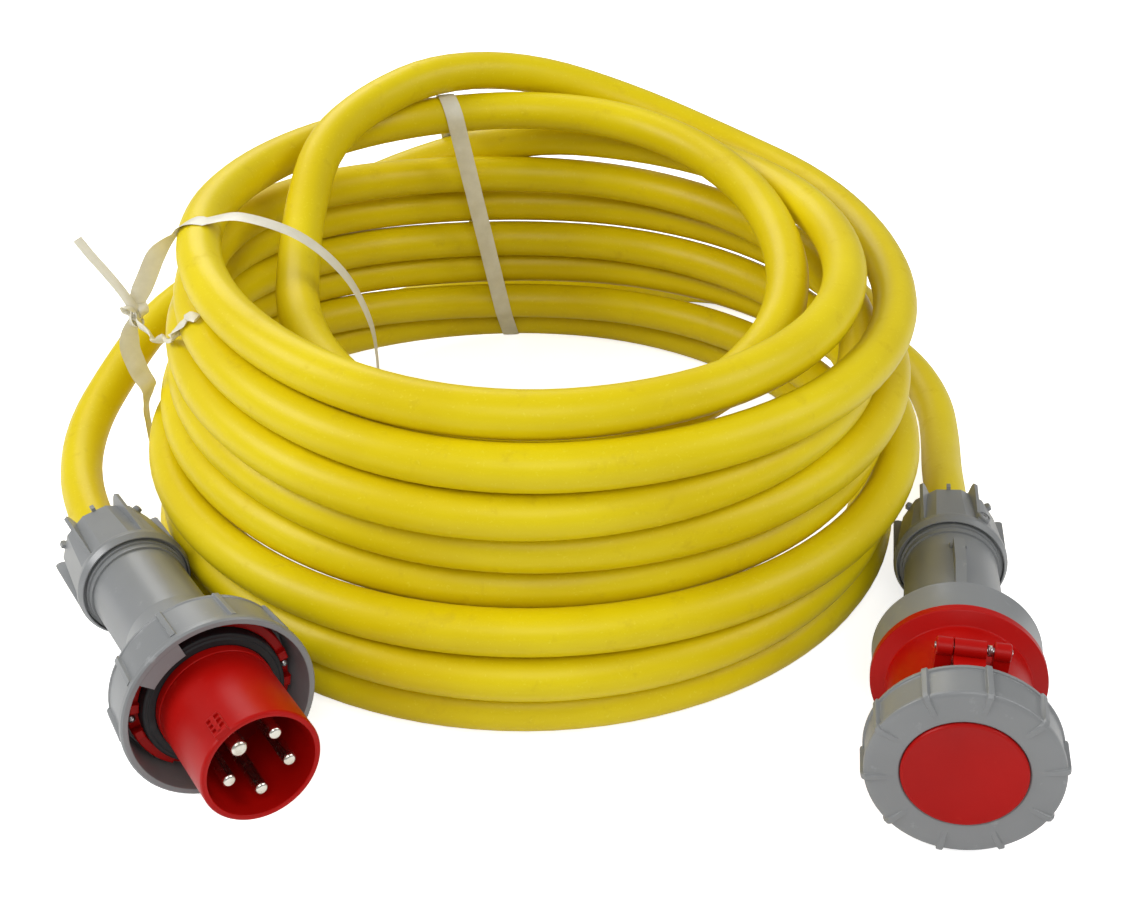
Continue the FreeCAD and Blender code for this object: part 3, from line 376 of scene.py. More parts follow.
def wear(piece, slot):
    piece.data.materials.clear()
    piece.data.materials.append(finishes[slot])


def addPiece(name, points, faces, body, slot, bevel=0.0, crisp=edges["crisp"]):
    # points in metres; the bevel in millimetres
    mesh = bpy.data.meshes.new(name)
    mesh.from_pydata(points.tolist(), [], faces)
    mesh.validate()
    piece = bpy.data.objects.new(name, mesh)
    bpy.context.scene.collection.objects.link(piece)
    mesh.shade_smooth()
    mesh.set_sharp_from_angle(angle=math.radians(crisp))
    if bevel:
        rounded = piece.modifiers.new("edges", "BEVEL")
        rounded.width = bevel * mm
        rounded.segments = edges["bevelSteps"]
        rounded.limit_method = "ANGLE"
        rounded.angle_limit = math.radians(edges["bevelOver"])
        rounded.harden_normals = False
    wear(piece, slot)
    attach(piece, body)
    return piece


def toPart(end, points):
    # from an end's own millimetres to the part's metres
    turn = np.array(frames[end])
    return (points @ turn[:3, :3].T + turn[:3, 3] + partShift) * mm


def gridFaces(rows, columns, closed):
    # quads over a grid whose columns close on themselves, and its rows too if closed
    row = np.arange(rows if closed else rows - 1)[:, None]
    column = np.arange(columns)[None, :]
    nextRow, nextColumn = (row + 1) % rows, (column + 1) % columns
    corners = [row * columns + column, row * columns + nextColumn, nextRow * columns + nextColumn,
               nextRow * columns + column]
    shape = (row.size, column.size)
    return np.stack([np.broadcast_to(c, shape) for c in corners], -1).reshape(-1, 4).tolist()


def ringPoints(profile, angles, growth=None, flats=None):
    # a closed profile (radius, along) turned through the angles; growth moves each point out along the
    # profile's normal, and flats gives the share of a polygon's flat sides at each profile point
    profile = np.array(profile, float)
    along = np.roll(profile, -1, 0) - np.roll(profile, 1, 0)
    normal = np.stack([along[:, 1], -along[:, 0]], 1) / np.hypot(*along.T)[:, None]
    grow = np.zeros((len(angles), len(profile))) if growth is None else growth
    radius = profile[:, 0] + grow * normal[:, 0]
    height = profile[:, 1] + grow * normal[:, 1]
    if flats is not None:
        share, sides = flats
        part = (angles + 180 / sides) % (360 / sides) - 180 / sides
        flat = math.cos(math.pi / sides) / np.cos(np.radians(part))
        radius = radius * (1 + np.array(share) * (flat[:, None] - 1))
    turn = np.radians(angles)[:, None]
    return np.stack([radius * np.cos(turn), radius * np.sin(turn), height], -1).reshape(-1, 3)


def turned(profile, angles, growth=None, flats=None):
    # a whole turn of a closed profile, as points and faces
    faces = gridFaces(len(angles), len(profile), True)
    return ringPoints(profile, angles, growth, flats), faces


def measures(shape, names):
    # some of a piece's measures, by their names
    return [shape[name] for name in names.split()]


def wholeTurn(step):
    # angles over a whole turn, so many degrees apart
    return np.arange(0, 360, edges[step])


def outAt(angle):
    # the ways out from an end's axis and round it, at an angle in degrees
    turn = math.radians(angle)
    out = np.array([math.cos(turn), math.sin(turn), 0])
    return out, np.array([-math.sin(turn), math.cos(turn), 0])


def plateShape(outline, thickness, angle):
    # a flat outline (radius, along) given a thickness and stood on the axis at an angle
    outline = np.array(outline, float)
    out, aside = outAt(angle)
    flat = outline[:, :1] * out + outline[:, 1:] * np.array([0, 0, 1])
    points = np.concatenate([flat - aside * thickness / 2, flat + aside * thickness / 2])
    n = len(outline)
    faces = [list(range(n)), list(range(2 * n - 1, n - 1, -1))]
    faces += [[(k + 1) % n, k, k + n, (k + 1) % n + n] for k in range(n)]
    return points, faces


def joined(parts):
    # several (points, faces) as one
    points, faces, start = [], [], 0
    for partPoints, partFaces in parts:
        points.append(partPoints)
        faces += [[i + start for i in face] for face in partFaces]
        start += len(partPoints)
    return np.concatenate(points), faces


def joinedPiece(end, name, parts, body, slot, bevel=0.0):
    # several shapes in an end's own millimetres as one piece
    points, faces = joined(parts)
    return addPiece(name, toPart(end, points), faces, body, slot, bevel)


def raised(angles, places, width, edge):
    # 1 within width/2 degrees of a place and 0 beyond, over an edge of some tenths of a degree
    apart = np.abs((angles[:, None] - np.array(places)[None, :] + 180) % 360 - 180).min(1)
    return np.clip((width / 2 + edge - apart) / edge, 0, 1)


def anglesWith(places, width, edge, between):
    # angles over a full turn, close together at the edges of each raised place
    gaps = 360 / len(places)
    local = np.concatenate([[-width / 2 - edge, -width / 2, 0, width / 2, width / 2 + edge],
                            np.linspace(width / 2 + edge, gaps - width / 2 - edge, between + 2)[1:-1]])
    return np.concatenate([place + local for place in sorted(places)])


def ribbedWall(shape, rows, between):
    # a turned wall with ribs and sunk panels; a row is radius, along, share of the rib and share of the panel
    first, ribs, width, edge = measures(shape, "firstRib ribs ribDegrees edgeDegrees")
    places = (first + 360 / ribs * np.arange(ribs)) % 360
    angles = anglesWith(places, width, edge, between)
    rows = np.array(rows)
    rib = raised(angles, places, width, edge)[:, None]
    growth = rib * rows[:, 2] * shape["ribHeight"] - (1 - rib) * rows[:, 3] * shape["panelDepth"]
    return turned(rows[:, :2], angles, growth)


def sectorShape(profile, first, span, steps):
    # a closed profile (radius, along) turned through part of a turn, with both ends closed
    angles = np.linspace(first, first + span, steps + 1)
    points = ringPoints(profile, angles)
    n = len(profile)
    faces = gridFaces(len(angles), n, False)
    faces += [list(range(n)), list(range(len(points) - 1, len(points) - 1 - n, -1))]
    return points, faces


# In the profiles below, bare steps of a few millimetres or less are chamfers, rounds and lips.
nut = {
    "back": {"plug": -54.5, "connector": -47.0}, "firstWing": {"plug": 10, "connector": 6},
    "backRadius": 32.4, "frontRadius": 37.7, "sides": 12, "stepsPerFlat": 8, "crisp": 22, "bevel": 0.5,
    "rimBack": -0.5, "rimRadius": 38.2, "rimFront": 8.0, "chamferBack": 3.5, "bore": 35.5, "boreBack": -3.0,
    "threadRadius": 28.2, "cableHole": 16.6, "shoulder": 12.0,
    "wings": 6, "wingRadius": 38.1, "wingRoot": 7.0, "wingThick": 2.6, "wingOver": 6.5,
    "nubRoot": 3.4, "nubRise": 1.2, "nubThick": 2.6, "nubOver": 6.0,
}


def glandNut(end):
    # twelve flats widening to a round rim, six tall wings and six nubs at the back between them
    first, back, rim = nut["firstWing"][end], nut["back"][end], nut["rimBack"]
    hole, wide, edge, bore, thread = measures(nut, "cableHole backRadius rimRadius bore threadRadius")
    shoulder = back + nut["shoulder"]
    steps = nut["sides"] * nut["stepsPerFlat"]
    profile = [(hole, shoulder), (hole, back + 2), (hole + 2, back), (wide - 1.5, back), (wide, back + 1.5),
               (nut["frontRadius"], rim), (edge - 0.3, rim), (edge, rim + 0.8), (edge, nut["chamferBack"]),
               (bore + 0.8, nut["rimFront"]), (bore, nut["rimFront"]), (bore, nut["boreBack"]),
               (thread, nut["boreBack"]), (thread, shoulder)]
    share = [0, 0, 0, 1, 1, 1, 0, 0, 0, 0, 0, 0, 0, 0]
    # the turn's angles start at the first wing, so the flats start there too
    angles = first + np.arange(steps) * 360 / steps
    parts = [turned(profile, angles - first, None, (share, nut["sides"]))]
    foot, tip, over = wide - nut["wingRoot"], nut["wingRadius"], back - nut["wingOver"]
    wing = [(foot, rim + 1), (foot, back + 1), (foot + 2, back - 2), (tip - 5.5, over + 0.8),
            (tip - 3.5, over), (tip - 1.2, over + 0.6), (tip - 0.2, over + 2.6), (tip, rim + 1)]
    near, far, over = wide - nut["nubRoot"], wide + nut["nubRise"], back - nut["nubOver"]
    nub = [(near, back + 3), (near, over + 1), (near + 1.2, over), (far - 1, over + 1), (far, over + 3),
           (far, back + 2)]
    pitch = 360 // nut["wings"]
    for k in range(nut["wings"]):
        parts.append(plateShape(wing[::-1], nut["wingThick"], pitch * k))
        parts.append(plateShape(nub[::-1], nut["nubThick"], pitch * k + pitch // 2))
    points, faces = joined(parts)
    turn = math.radians(first)
    c, s = math.cos(turn), math.sin(turn)
    points = toPart(end, points @ np.array([[c, s, 0], [-s, c, 0], [0, 0, 1]]))
    piece = addPiece(end + "GlandNut", points, faces, end + "_nut", "grey_plastic", nut["bevel"],
                     nut["crisp"])
    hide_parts(end + "_gland_nut")


lockScrew = {"angle": 61.5, "along": -5.5, "foot": 31.0, "top": 40.3, "radius": 4.8, "headRadius": 3.2}


def lockScrewBoss():
    # a round boss on the connector's nut with a small recessed screw head
    out, aside = outAt(lockScrew["angle"])
    angles = wholeTurn("screw")
    foot, top, r, head = measures(lockScrew, "foot top radius headRadius")
    boss = [(0.01, foot), (r + 0.6, foot), (r, top - 0.6), (r - 0.6, top), (head + 0.4, top),
            (head + 0.3, top - 1.2), (1.0, top - 1.2), (0.01, top - 1.2)]
    screw = [(0.01, foot), (head, foot), (head, top - 0.7), (head - 0.5, top - 0.3), (1.3, top - 0.2),
             (1.2, top - 1.1), (0.5, top - 1.1), (0.01, top - 1.1)]
    for name, profile, slot in (("connectorLockBoss", boss, "grey_plastic"),
                                ("connectorLockScrew", screw, "steel")):
        local, faces = turned(profile, angles)
        points = local[:, :1] * aside + local[:, 1:2] * np.array([0, 0, 1]) + local[:, 2:] * out
        points = toPart("connector", points + np.array([0, 0, lockScrew["along"]]))
        addPiece(name, points, faces, "connector_nut", slot)


ring = {
    "back": 128.0, "front": 166.0, "backRadius": 56.4, "frontRadius": 58.4, "lipRadius": 59.7,
    "lipWidth": 5.0, "wall": 3.4, "seat": 47.1, "backWall": 3.6, "bevel": 0.35,
    "ribs": 10, "ribDegrees": 3.0, "edgeDegrees": 0.5, "ribHeight": 1.5, "panelDepth": 0.8, "firstRib": 0.0,
    "lugInner": 45.6, "lugRoot": 2.0, "lugAngles": (125.0, 305.0), "lugSpan": 33.0,
}


def plugRing():
    # a thin cup with low ribs, sunk panels between them, a round front lip and two inward lugs
    back, front, seat, inner = measures(ring, "back front seat lugInner")
    r, wide, lipRadius = measures(ring, "backRadius frontRadius lipRadius")
    lip = front - ring["lipWidth"]
    slope = (wide - r) / (lip - back)
    inside = back + ring["backWall"]
    rows = [(seat, back, 0, 0), (r - 2, back, 0, 0), (r, back + 2, 0.6, 0),
            (r + 3.4 * slope, back + 3.4, 1, 0), (r + 4 * slope, back + 4, 1, 1),
            (wide, lip - 1.2, 1, 1), (wide, lip - 0.5, 1, 0), (wide, lip, 0.3, 0),
            (lipRadius, lip + 0.3, 0, 0), (lipRadius, front - 1.2, 0, 0), (lipRadius - 1, front, 0, 0),
            (wide - 2.6, front, 0, 0), (wide - 3.2, front - 1, 0, 0),
            (r - ring["wall"], inside, 0, 0), (seat, inside, 0, 0)]
    parts = [ribbedWall(ring, rows, 5)]
    outer = wide - ring["lugRoot"]
    lug = [(inner, front - 5.0), (outer, front - 8.5), (outer, front - 0.8), (inner, front - 0.8)]
    for angle in ring["lugAngles"]:
        parts.append(sectorShape(lug, angle - ring["lugSpan"] / 2, ring["lugSpan"], edges["sectorSteps"]))
    piece = joinedPiece("plug", "plugLockingRing", parts, "plug_ring", "grey_plastic", ring["bevel"])
    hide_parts("plug_locking_ring")


lidRing = {
    "back": 204.4, "front": 231.0, "face": 222.0, "backRadius": 56.6, "frontRadius": 56.0, "bore": 52.0,
    "discBore": 35.8, "faceFlat": 7.0, "bevel": 0.35,
    "ribs": 10, "ribDegrees": 3.2, "edgeDegrees": 0.6, "ribHeight": 1.6, "panelDepth": 1.2, "firstRib": 119.0,
    "cams": 3, "camPitch": 90.0, "camInner": 46.8, "camBack": 205.2, "camWidth": 3.2, "camSpan": 28.0,
    "camFirst": 347.0,
}


def lidLockingRing():
    # wall and face in one profile, ribs over both, sunk panels in the wall and three cams inside it
    back, front, face, bore, disc = measures(lidRing, "back front face bore discBore")
    wall, edge, flat = measures(lidRing, "backRadius frontRadius faceFlat")
    rows = [(bore, back, 0, 0), (wall - 1.2, back, 0, 0), (wall, back + 1.0, 0.8, 0),
            (wall, back + 2.8, 1, 0), (wall - 0.1, back + 3.3, 1, 1), (edge + 0.1, front - 3.6, 1, 1),
            (edge, front - 3.1, 1, 0), (edge - 0.4, front - 1.4, 1, 0), (edge - 1.8, front - 0.4, 1, 0),
            (edge - 4, front - 0.2, 0.8, 0), (disc + flat + 2, front, 0.5, 0), (disc + flat, front, 0, 0),
            (disc + 0.8, front, 0, 0), (disc, front - 0.8, 0, 0), (disc, front - 3, 0, 0),
            (disc - 1.2, front - 3.4, 0, 0), (disc - 1.2, face, 0, 0), (bore, face, 0, 0)]
    parts = [ribbedWall(lidRing, rows, 6)]
    inner, camBack, first, span = measures(lidRing, "camInner camBack camFirst camSpan")
    camFront = camBack + lidRing["camWidth"]
    cam = [(inner, camBack), (bore + 1, camBack), (bore + 1, camFront), (inner, camFront)]
    for k in range(lidRing["cams"]):
        parts.append(sectorShape(cam, first - lidRing["camPitch"] * k, span, edges["sectorSteps"]))
    piece = joinedPiece("connector", "lidLockingRing", parts, "lid_ring", "grey_plastic", lidRing["bevel"])
    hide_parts("lid_locking_ring")


seal = {"inner": 35.9, "outer": 43.8, "back": 144.6, "front": 156.5, "bevel": 0.3}
flangeScrew = {"circle": 47.9, "angles": (0.0, 180.0, 270.0), "radius": 2.2, "foot": 144.0, "top": 147.0}
insert = {
    "inner": 31.8, "outer": 35.5, "back": 137.0, "flange": 50.4, "face": 144.8, "front": 230.0, "bevel": 0.3,
    "foot": 36.2, "footFront": 161.5, "padInner": 44.3, "padOuter": 50.0,
    # raised pads on the flange: first angle, span and front
    "pads": [(8, 104, 148.4), (128, 44, 148.4), (188, 44, 148.4), (248, 104, 148.4),
             (8, 7, 150.8), (165, 7, 150.8), (188, 7, 150.8), (345, 7, 150.8)],
}
keyNib = {"angle": 120.5, "radius": 35.4, "back": 211.0, "front": 229.6, "height": 2.4, "width": 9.0,
          "padShare": 0.3, "slots": 3, "bevel": 0.4}


def flangeSeal():
    # a flat rubber ring with a fine raised bead
    inner, outer, back, front = measures(seal, "inner outer back front")
    profile = [(inner, back), (outer, back), (outer, front - 1.4), (outer - 1, front - 0.7),
               (outer - 2.6, front - 0.7), (outer - 3.2, front), (inner + 1, front), (inner, front - 1)]
    parts = [turned(profile, wholeTurn("narrow"))]
    piece = joinedPiece("plug", "plugFlangeSeal", parts, "cord", "black_rubber", seal["bevel"])
    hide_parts("plug_flange_gasket")


def flangeScrews():
    # domed heads with a round socket sunk in them
    r, top, foot = measures(flangeScrew, "radius top foot")
    profile = [(0.01, foot), (r, foot), (r, top - 0.9), (r - 0.6, top - 0.2), (1.2, top), (1.1, top - 0.7),
               (0.6, top - 0.8), (0.01, top - 0.8)]
    points, faces = turned(profile, wholeTurn("screw"))
    parts = [(points + outAt(angle)[0] * flangeScrew["circle"], faces) for angle in flangeScrew["angles"]]
    piece = joinedPiece("plug", "plugFlangeScrews", parts, "cord", "steel")
    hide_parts("plug_flange_screws")


def plugInsert():
    # flange, shroud with a thicker foot, and stepped pads round the flange's edge
    inner, outer, front, foot, footFront = measures(insert, "inner outer front foot footFront")
    back, flange, face = measures(insert, "back flange face")
    profile = [(inner, back), (flange, back), (flange, face - 0.6), (flange - 0.6, face), (foot, face),
               (foot, footFront), (foot - 0.5, footFront + 0.6), (outer + 0.2, footFront + 0.8),
               (outer + 0.2, footFront + 1.6), (outer, front - 2.2), (outer, front - 1.4),
               (outer - 0.6, front - 0.3), (outer - 1.4, front), (inner + 0.9, front),
               (inner + 0.2, front - 0.4), (inner, front - 1.2), (inner, front - 2)]
    parts = [turned(profile, wholeTurn("wide"))]
    near, far = insert["padInner"], insert["padOuter"]
    for first, span, top in insert["pads"]:
        pad = [(near, face - 1), (far, face - 1), (far, top - 0.5), (far - 0.5, top), (near + 0.5, top),
               (near, top - 0.5)]
        parts.append(sectorShape(pad, first, span, max(3, span // 4)))
    piece = joinedPiece("plug", "plugInsert", parts, "cord", "red_plastic", insert["bevel"])
    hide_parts("plug_insert")


pins = {
    "circle": 19.0, "back": 98.0, "flat": 0.42, "domeHeight": 0.5,  # shares of the radius
    # node, angle round the axis, radius and tip
    "each": [("plug_earth_pin", 123.0, 5.0, 229.0), ("plug_phase_pin_1", 195.0, 4.0, 226.0),
             ("plug_phase_pin_2", 267.0, 4.0, 226.0), ("plug_phase_pin_3", 339.0, 4.0, 226.0),
             ("plug_phase_pin_4", 51.0, 4.0, 226.0)],
}


def contactPins():
    # plain pins whose flat tips have round edges
    lean = np.radians(np.arange(0, 91, 15.0))
    flat, high = pins["flat"], pins["domeHeight"]
    for node, angle, radius, tip in pins["each"]:
        dome = np.stack([radius * (flat + (1 - flat) * np.cos(lean)),
                         tip - radius * high * (1 - np.sin(lean))], 1)
        profile = [(0.01, pins["back"]), (radius, pins["back"]), (radius, tip - radius * high - 1),
                   *dome.tolist(), (0.01, tip + 0.1)]
        points, faces = turned(profile, wholeTurn("pin"))
        points = points + outAt(angle)[0] * pins["circle"]
        name = "plug" + node.replace("plug_", "").replace("_", " ").title().replace(" ", "")
        piece = joinedPiece("plug", name, [(points, faces)], "cord", "nickel")
        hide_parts(node)


def shroudKey():
    # a raised nib near the shroud's mouth: a low pad, a spine and short bars with slots between them
    radius, height, back, front, angle, width = measures(keyNib, "radius height back front angle width")
    low, top, padTop = radius - 1, radius + height, radius + height * keyNib["padShare"]
    pad = [(low, front), (low, back), (padTop, back + 1), (padTop, front - 1)]
    spine = [(low, front), (low, back), (top, back + 2.5), (top, front - 1.5)]
    parts = [plateShape(pad[::-1], width, angle), plateShape(spine[::-1], width * 0.3, angle)]
    pitch = (front - back - 5) / keyNib["slots"]
    for k in range(keyNib["slots"] + 1):
        at = back + 1 + k * pitch
        to = at + (pitch * 0.5 if k < keyNib["slots"] else pitch * 0.9)
        bar = [(low, to), (low, at), (top, at + 0.6), (top, to - 0.6)]
        parts.append(plateShape(bar[::-1], width * 0.92, angle))
    joinedPiece("plug", "plugShroudKey", parts, "cord", "red_plastic", keyNib["bevel"])


collar = {
    "mouth": 36.3, "back": 133.0, "neck": 49.5, "lip": 53.0, "lipBack": 137.0, "lipFront": 143.0,
    "socket": 43.0, "face": 146.4, "front": 212.0, "bevel": 0.3,
    "keyHalf": 5.1, "keyDeep": 2.4, "keyAngle": 270.0,
    "lugs": (302.0, 212.0, 122.0), "lugRadius": 50.4, "lugBack": 209.6, "lugSpan": 28.0,
    "hingeHigh": 53.0, "hingeAlong": 184.0, "knuckle": 5.4, "knuckles": [(-21.0, -11.4), (11.4, 21.0)],
}
flare = {"neck": 45.6, "back": 107.0, "edge": 52.0, "front": 136.8, "inner": 47.6, "bevel": 0.2}


def connectorCollar():
    # lip, dished face and long socket in one profile, with its key slot, three lugs and two hinge knuckles
    socket, lip, face, back, front = measures(collar, "socket lip face back front")
    mouth, neck, lipBack, lipFront = measures(collar, "mouth neck lipBack lipFront")
    profile = [(mouth, back), (neck, back), (neck, lipBack), (lip - 0.6, lipBack),
               (lip, lipBack + 0.7), (lip, lipFront), (lip - 0.8, lipFront + 0.7), (socket + 1.4, face - 0.2),
               (socket + 0.4, face + 0.4), (socket, face + 1.8), (socket, face + 2.6), (socket, front - 0.6),
               (socket - 0.6, front), (mouth + 0.8, front), (mouth, front - 0.8)]
    half, key = math.degrees(collar["keyHalf"] / mouth), collar["keyAngle"]
    slot = key + np.array([-half - 0.6, -half, half, half + 0.6])
    angles = np.sort(np.concatenate([wholeTurn("wide"), slot]))
    growth = np.zeros((len(angles), len(profile)))
    inSlot = np.abs(angles - key) <= half + 0.01
    growth[np.ix_(inSlot, [0, len(profile) - 1])] = -collar["keyDeep"]
    parts = [turned(profile, angles, growth)]
    far, lugBack = collar["lugRadius"], collar["lugBack"]
    lug = [(socket - 1, lugBack), (far, lugBack), (far, front), (socket - 1, front)]
    for first in collar["lugs"]:
        parts.append(sectorShape(lug, first, collar["lugSpan"], edges["sectorSteps"]))
    high, along, r = measures(collar, "hingeHigh hingeAlong knuckle")
    for x0, x1 in collar["knuckles"]:
        knuckle = [(0.01, x0), (r - 0.7, x0), (r, x0 + 0.7), (r, x1 - 0.7), (r - 0.7, x1), (0.01, x1)]
        barrel, faces = turned(knuckle, wholeTurn("knuckle"))
        parts.append((barrel[:, [2, 1, 0]] + np.array([0, high, along]), faces))
        block = np.array([(x, y, z) for x in (x0 + 0.2, x1 - 0.2) for y in (socket - 4, high)
                          for z in (along - r + 0.2, along + r - 2.4)])
        parts.append((block, [[0, 1, 3, 2], [4, 6, 7, 5], [0, 4, 5, 1], [2, 3, 7, 6], [0, 2, 6, 4],
                              [1, 5, 7, 3]]))
    piece = joinedPiece("connector", "connectorCollar", parts, "cord", "red_plastic", collar["bevel"])
    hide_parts("connector_collar")


def connectorFlare():
    # the wide rim at the front of the grey body
    edge, back, front, inner, neck = measures(flare, "edge back front inner neck")
    profile = [(neck, back), (edge - 1.6, back + 2.2), (edge - 0.4, back + 3), (edge + 0.2, back + 4),
               (edge - 0.3, back + 5.2), (edge, front - 0.8), (edge - 0.6, front), (inner, front),
               (inner, back + 5), (neck, back + 1)]
    parts = [turned(profile, wholeTurn("wide"))]
    joinedPiece("connector", "connectorFlare", parts, "cord", "grey_plastic", flare["bevel"])


lidFace = {"radius": 35.4, "back": 229.5, "front": 232.2, "dish": 0.5, "dishRadius": 8.0}


def lidDisc():
    # the lid's round face: a fine rim and a very shallow dish inside it
    r, back, front, dish, dishRadius = measures(lidFace, "radius back front dish dishRadius")
    profile = [(0.01, back), (r, back), (r, front - 0.9), (r - 0.5, front - 0.2), (r - 1.2, front),
               (r - 2.2, front - 0.1), (r - 3.0, front - 0.4), (dishRadius, front - dish),
               (0.01, front - dish)]
    joinedPiece("connector", "lidDisc", [turned(profile, wholeTurn("narrow"))], "lid", "red_plastic")


straps = {
    "width": 14.0, "thickness": 0.7, "air": 0.9,
    # a strap's section, in shares of half its width and half its thickness
    "section": [(-1, 0), (-0.6, 0.9), (0, 1), (0.6, 0.9), (1, 0), (0.6, -0.9), (0, -1), (-0.6, -0.9)],
    # back strap: it leans from its top to its bottom, in degrees left of the back, and leaves out the
    # highest loop, between two marks, and what lies past the mark "backLast"
    "backLean": (17.6, 4.8), "backTop": 242.0, "backSkips": (8.3, 9.75), "backLast": 36.2,
    "backFine": 0.01, "backMargin": 1.0,
    # left strap: a loose arch round the left turns, with the way across it by point number
    "arch": [(-272, -24, 179), (-269.8, -22, 188), (-260.8, -22, 205.5), (-252.6, -22, 221.5),
             (-244, -22, 232), (-232, -22, 241), (-210, -22, 248.5), (-188, -22, 250), (-152, -22, 236),
             (-124, -22, 208), (-109, -21, 172), (-106, -18, 138), (-108, -12, 96), (-114, -4, 50),
             (-134, 6, 12), (-170, 14, 2.2), (-215, 20, 1.9), (-258, 23, 1.9), (-284, 23, 9), (-289, 20, 40),
             (-286, 8, 78), (-277, -10, 103), (-272, -22, 118), (-276, -23, 129), (-278.5, -24, 140),
             (-280, -25, 152), (-278, -25, 165), (-273, -24, 176)],
    "archTwist": [(0, 0.93, 0.07, -0.36), (3, 0.8, 0.4, -0.3), (5.5, 0.2, 1, 0), (7, 0, 1, 0), (20, 0, 1, 0),
                  (22.5, 0.6, 0.7, 0.1), (24, 0.87, 0.41, 0.26), (27, 0.87, 0.41, 0.26)],
    # steps between two points, the width where it is knotted and the steps to its full width
    "archSteps": 8, "knottedWidth": 0.45, "widensOver": 22,
    "looseEnd": [(-272, -25, 180), (-278, -26, 195), (-287.5, -26, 211), (-296, -26, 224), (-303, -26, 236)],
    "looseAcross": (0.75, 0.1, 0.6), "looseShare": 0.5, "looseThick": 1.4,
    "crumpledEnd": [(-272, -25, 177), (-265.6, -38, 176), (-253.4, -50, 171.5), (-241, -67, 180),
                    (-231.3, -80, 189.6), (-219, -91, 202), (-208, -100, 212.4)],
    "crumpledSteps": 10, "crumpledAir": 2.0, "crumpledShare": 0.58, "crumpledThick": 2.2, "crumple": 0.9,
    "crumpledRoll": (1.2, 2.6, 0.5), "crumpledWaves": (31, 17, 27),
    "knot": (-272.6, -24, 178), "knotSize": 2.5, "knotDeep": 1.1, "knotTall": 1.25,
    "knotWidth": 7.0, "knotThick": 1.6, "knotSteps": 60,
    # rounds of pushing off the cord, and points on its middle line for each of its own
    "offRounds": 4, "lineSteps": 8,
}


def smoothPath(points, between):
    # a curve through the points whose slope at each is half the way from the one before to the one after
    p = np.array(points, float)
    full = np.concatenate([[2 * p[0] - p[1]], p, [2 * p[-1] - p[-2]]])
    t = (np.arange(between) / between)[None, :, None]
    before, here, after, second = (full[k:len(p) - 1 + k, None] for k in range(4))
    path = 0.5 * (2 * here + (after - before) * t + (2 * before - 5 * here + 4 * after - second) * t ** 2
                  + (3 * here - before - 3 * after + second) * t ** 3)
    return np.concatenate([path.reshape(-1, 3), p[-1:]])


def ribbon(path, across, width, thickness, closed):
    # a flat strap along a path: its section is a thin lens, set square to the path
    ahead = (np.roll(path, -1, 0) - np.roll(path, 1, 0)) if closed else np.gradient(path, axis=0)
    ahead /= np.linalg.norm(ahead, axis=1)[:, None]
    across = across - (across * ahead).sum(1)[:, None] * ahead
    across /= np.linalg.norm(across, axis=1)[:, None]
    up = np.cross(ahead, across)
    share, lift = np.array(straps["section"], float).T[:, None, :, None]
    wide = np.broadcast_to(np.asarray(width, float), len(path))[:, None, None] / 2
    points = path[:, None] + across[:, None] * share * wide + up[:, None] * lift * thickness / 2
    n = len(straps["section"])
    faces = gridFaces(len(path), n, closed)
    if not closed:
        faces += [list(range(n))[::-1], list(range((len(path) - 1) * n, len(path) * n))]
    return points.reshape(-1, 3), faces


def cordLine(points):
    # the middle line of the cord: a quadratic spline through its control points, in millimetres
    t = np.linspace(0, 1, straps["lineSteps"], endpoint=False)[None, :, None]
    first, second, third = (points[k:len(points) - 2 + k, None] / mm for k in range(3))
    return (0.5 * (1 - t) ** 2 * first + (0.5 + t * (1 - t)) * second + 0.5 * t * t * third).reshape(-1, 3)


def offTheCord(path, line, air):
    # each point nearer to the cord than its radius and the air is moved straight out to there
    path = path.copy()
    for _ in range(straps["offRounds"]):
        away = path[:, None] - line[None]
        apart = np.linalg.norm(away, axis=2)
        nearest = apart.argmin(1)
        rows = np.arange(len(path))
        short = np.clip(cable["diameter"] / 2 + air - apart[rows, nearest], 0, None)
        path += away[rows, nearest] / np.maximum(apart[rows, nearest], 0.1)[:, None] * short[:, None]
    return path


def backStrap():
    # the outline round all the turns that it holds, pulled tight, in a leaning plane
    fine = np.arange(coilMarks[0], coilMarks[-1], straps["backFine"])
    reach, height = (np.interp(fine, coilMarks, coilSettled[:, k]) for k in (0, 1))
    top, bottom = straps["backLean"]

    def leanAt(z):
        return bottom + (top - bottom) * np.clip(z / straps["backTop"], 0, 1.1)

    away = (fine * 90 - 90 + leanAt(height) + 180) % 360 - 180
    held = np.abs(np.radians(away)) * reach < straps["width"] / 2 + straps["backMargin"]
    held &= (fine < straps["backSkips"][0]) | (fine > straps["backSkips"][1])
    held &= fine < straps["backLast"]
    turns = np.stack([reach, height], 1)[held]
    way = np.radians(wholeTurn("narrow"))
    out = np.stack([np.cos(way), np.sin(way)], 1)
    outermost = turns[(turns @ out.T).argmax(0)]
    outline = outermost + out * (cable["diameter"] / 2 + straps["air"])
    lean = np.radians(90 - leanAt(outline[:, 1]))
    path = np.stack([-np.cos(lean) * outline[:, 0], np.sin(lean) * outline[:, 0], outline[:, 1]], 1)
    path += partShift
    across = np.stack([np.sin(lean), np.cos(lean), np.zeros(len(lean))], 1)
    points, faces = ribbon(path, across, straps["width"], straps["thickness"], True)
    piece = addPiece("tieStrapBack", points * mm, faces, "cord", "strap_plastic")
    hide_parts("tie_strap_back")


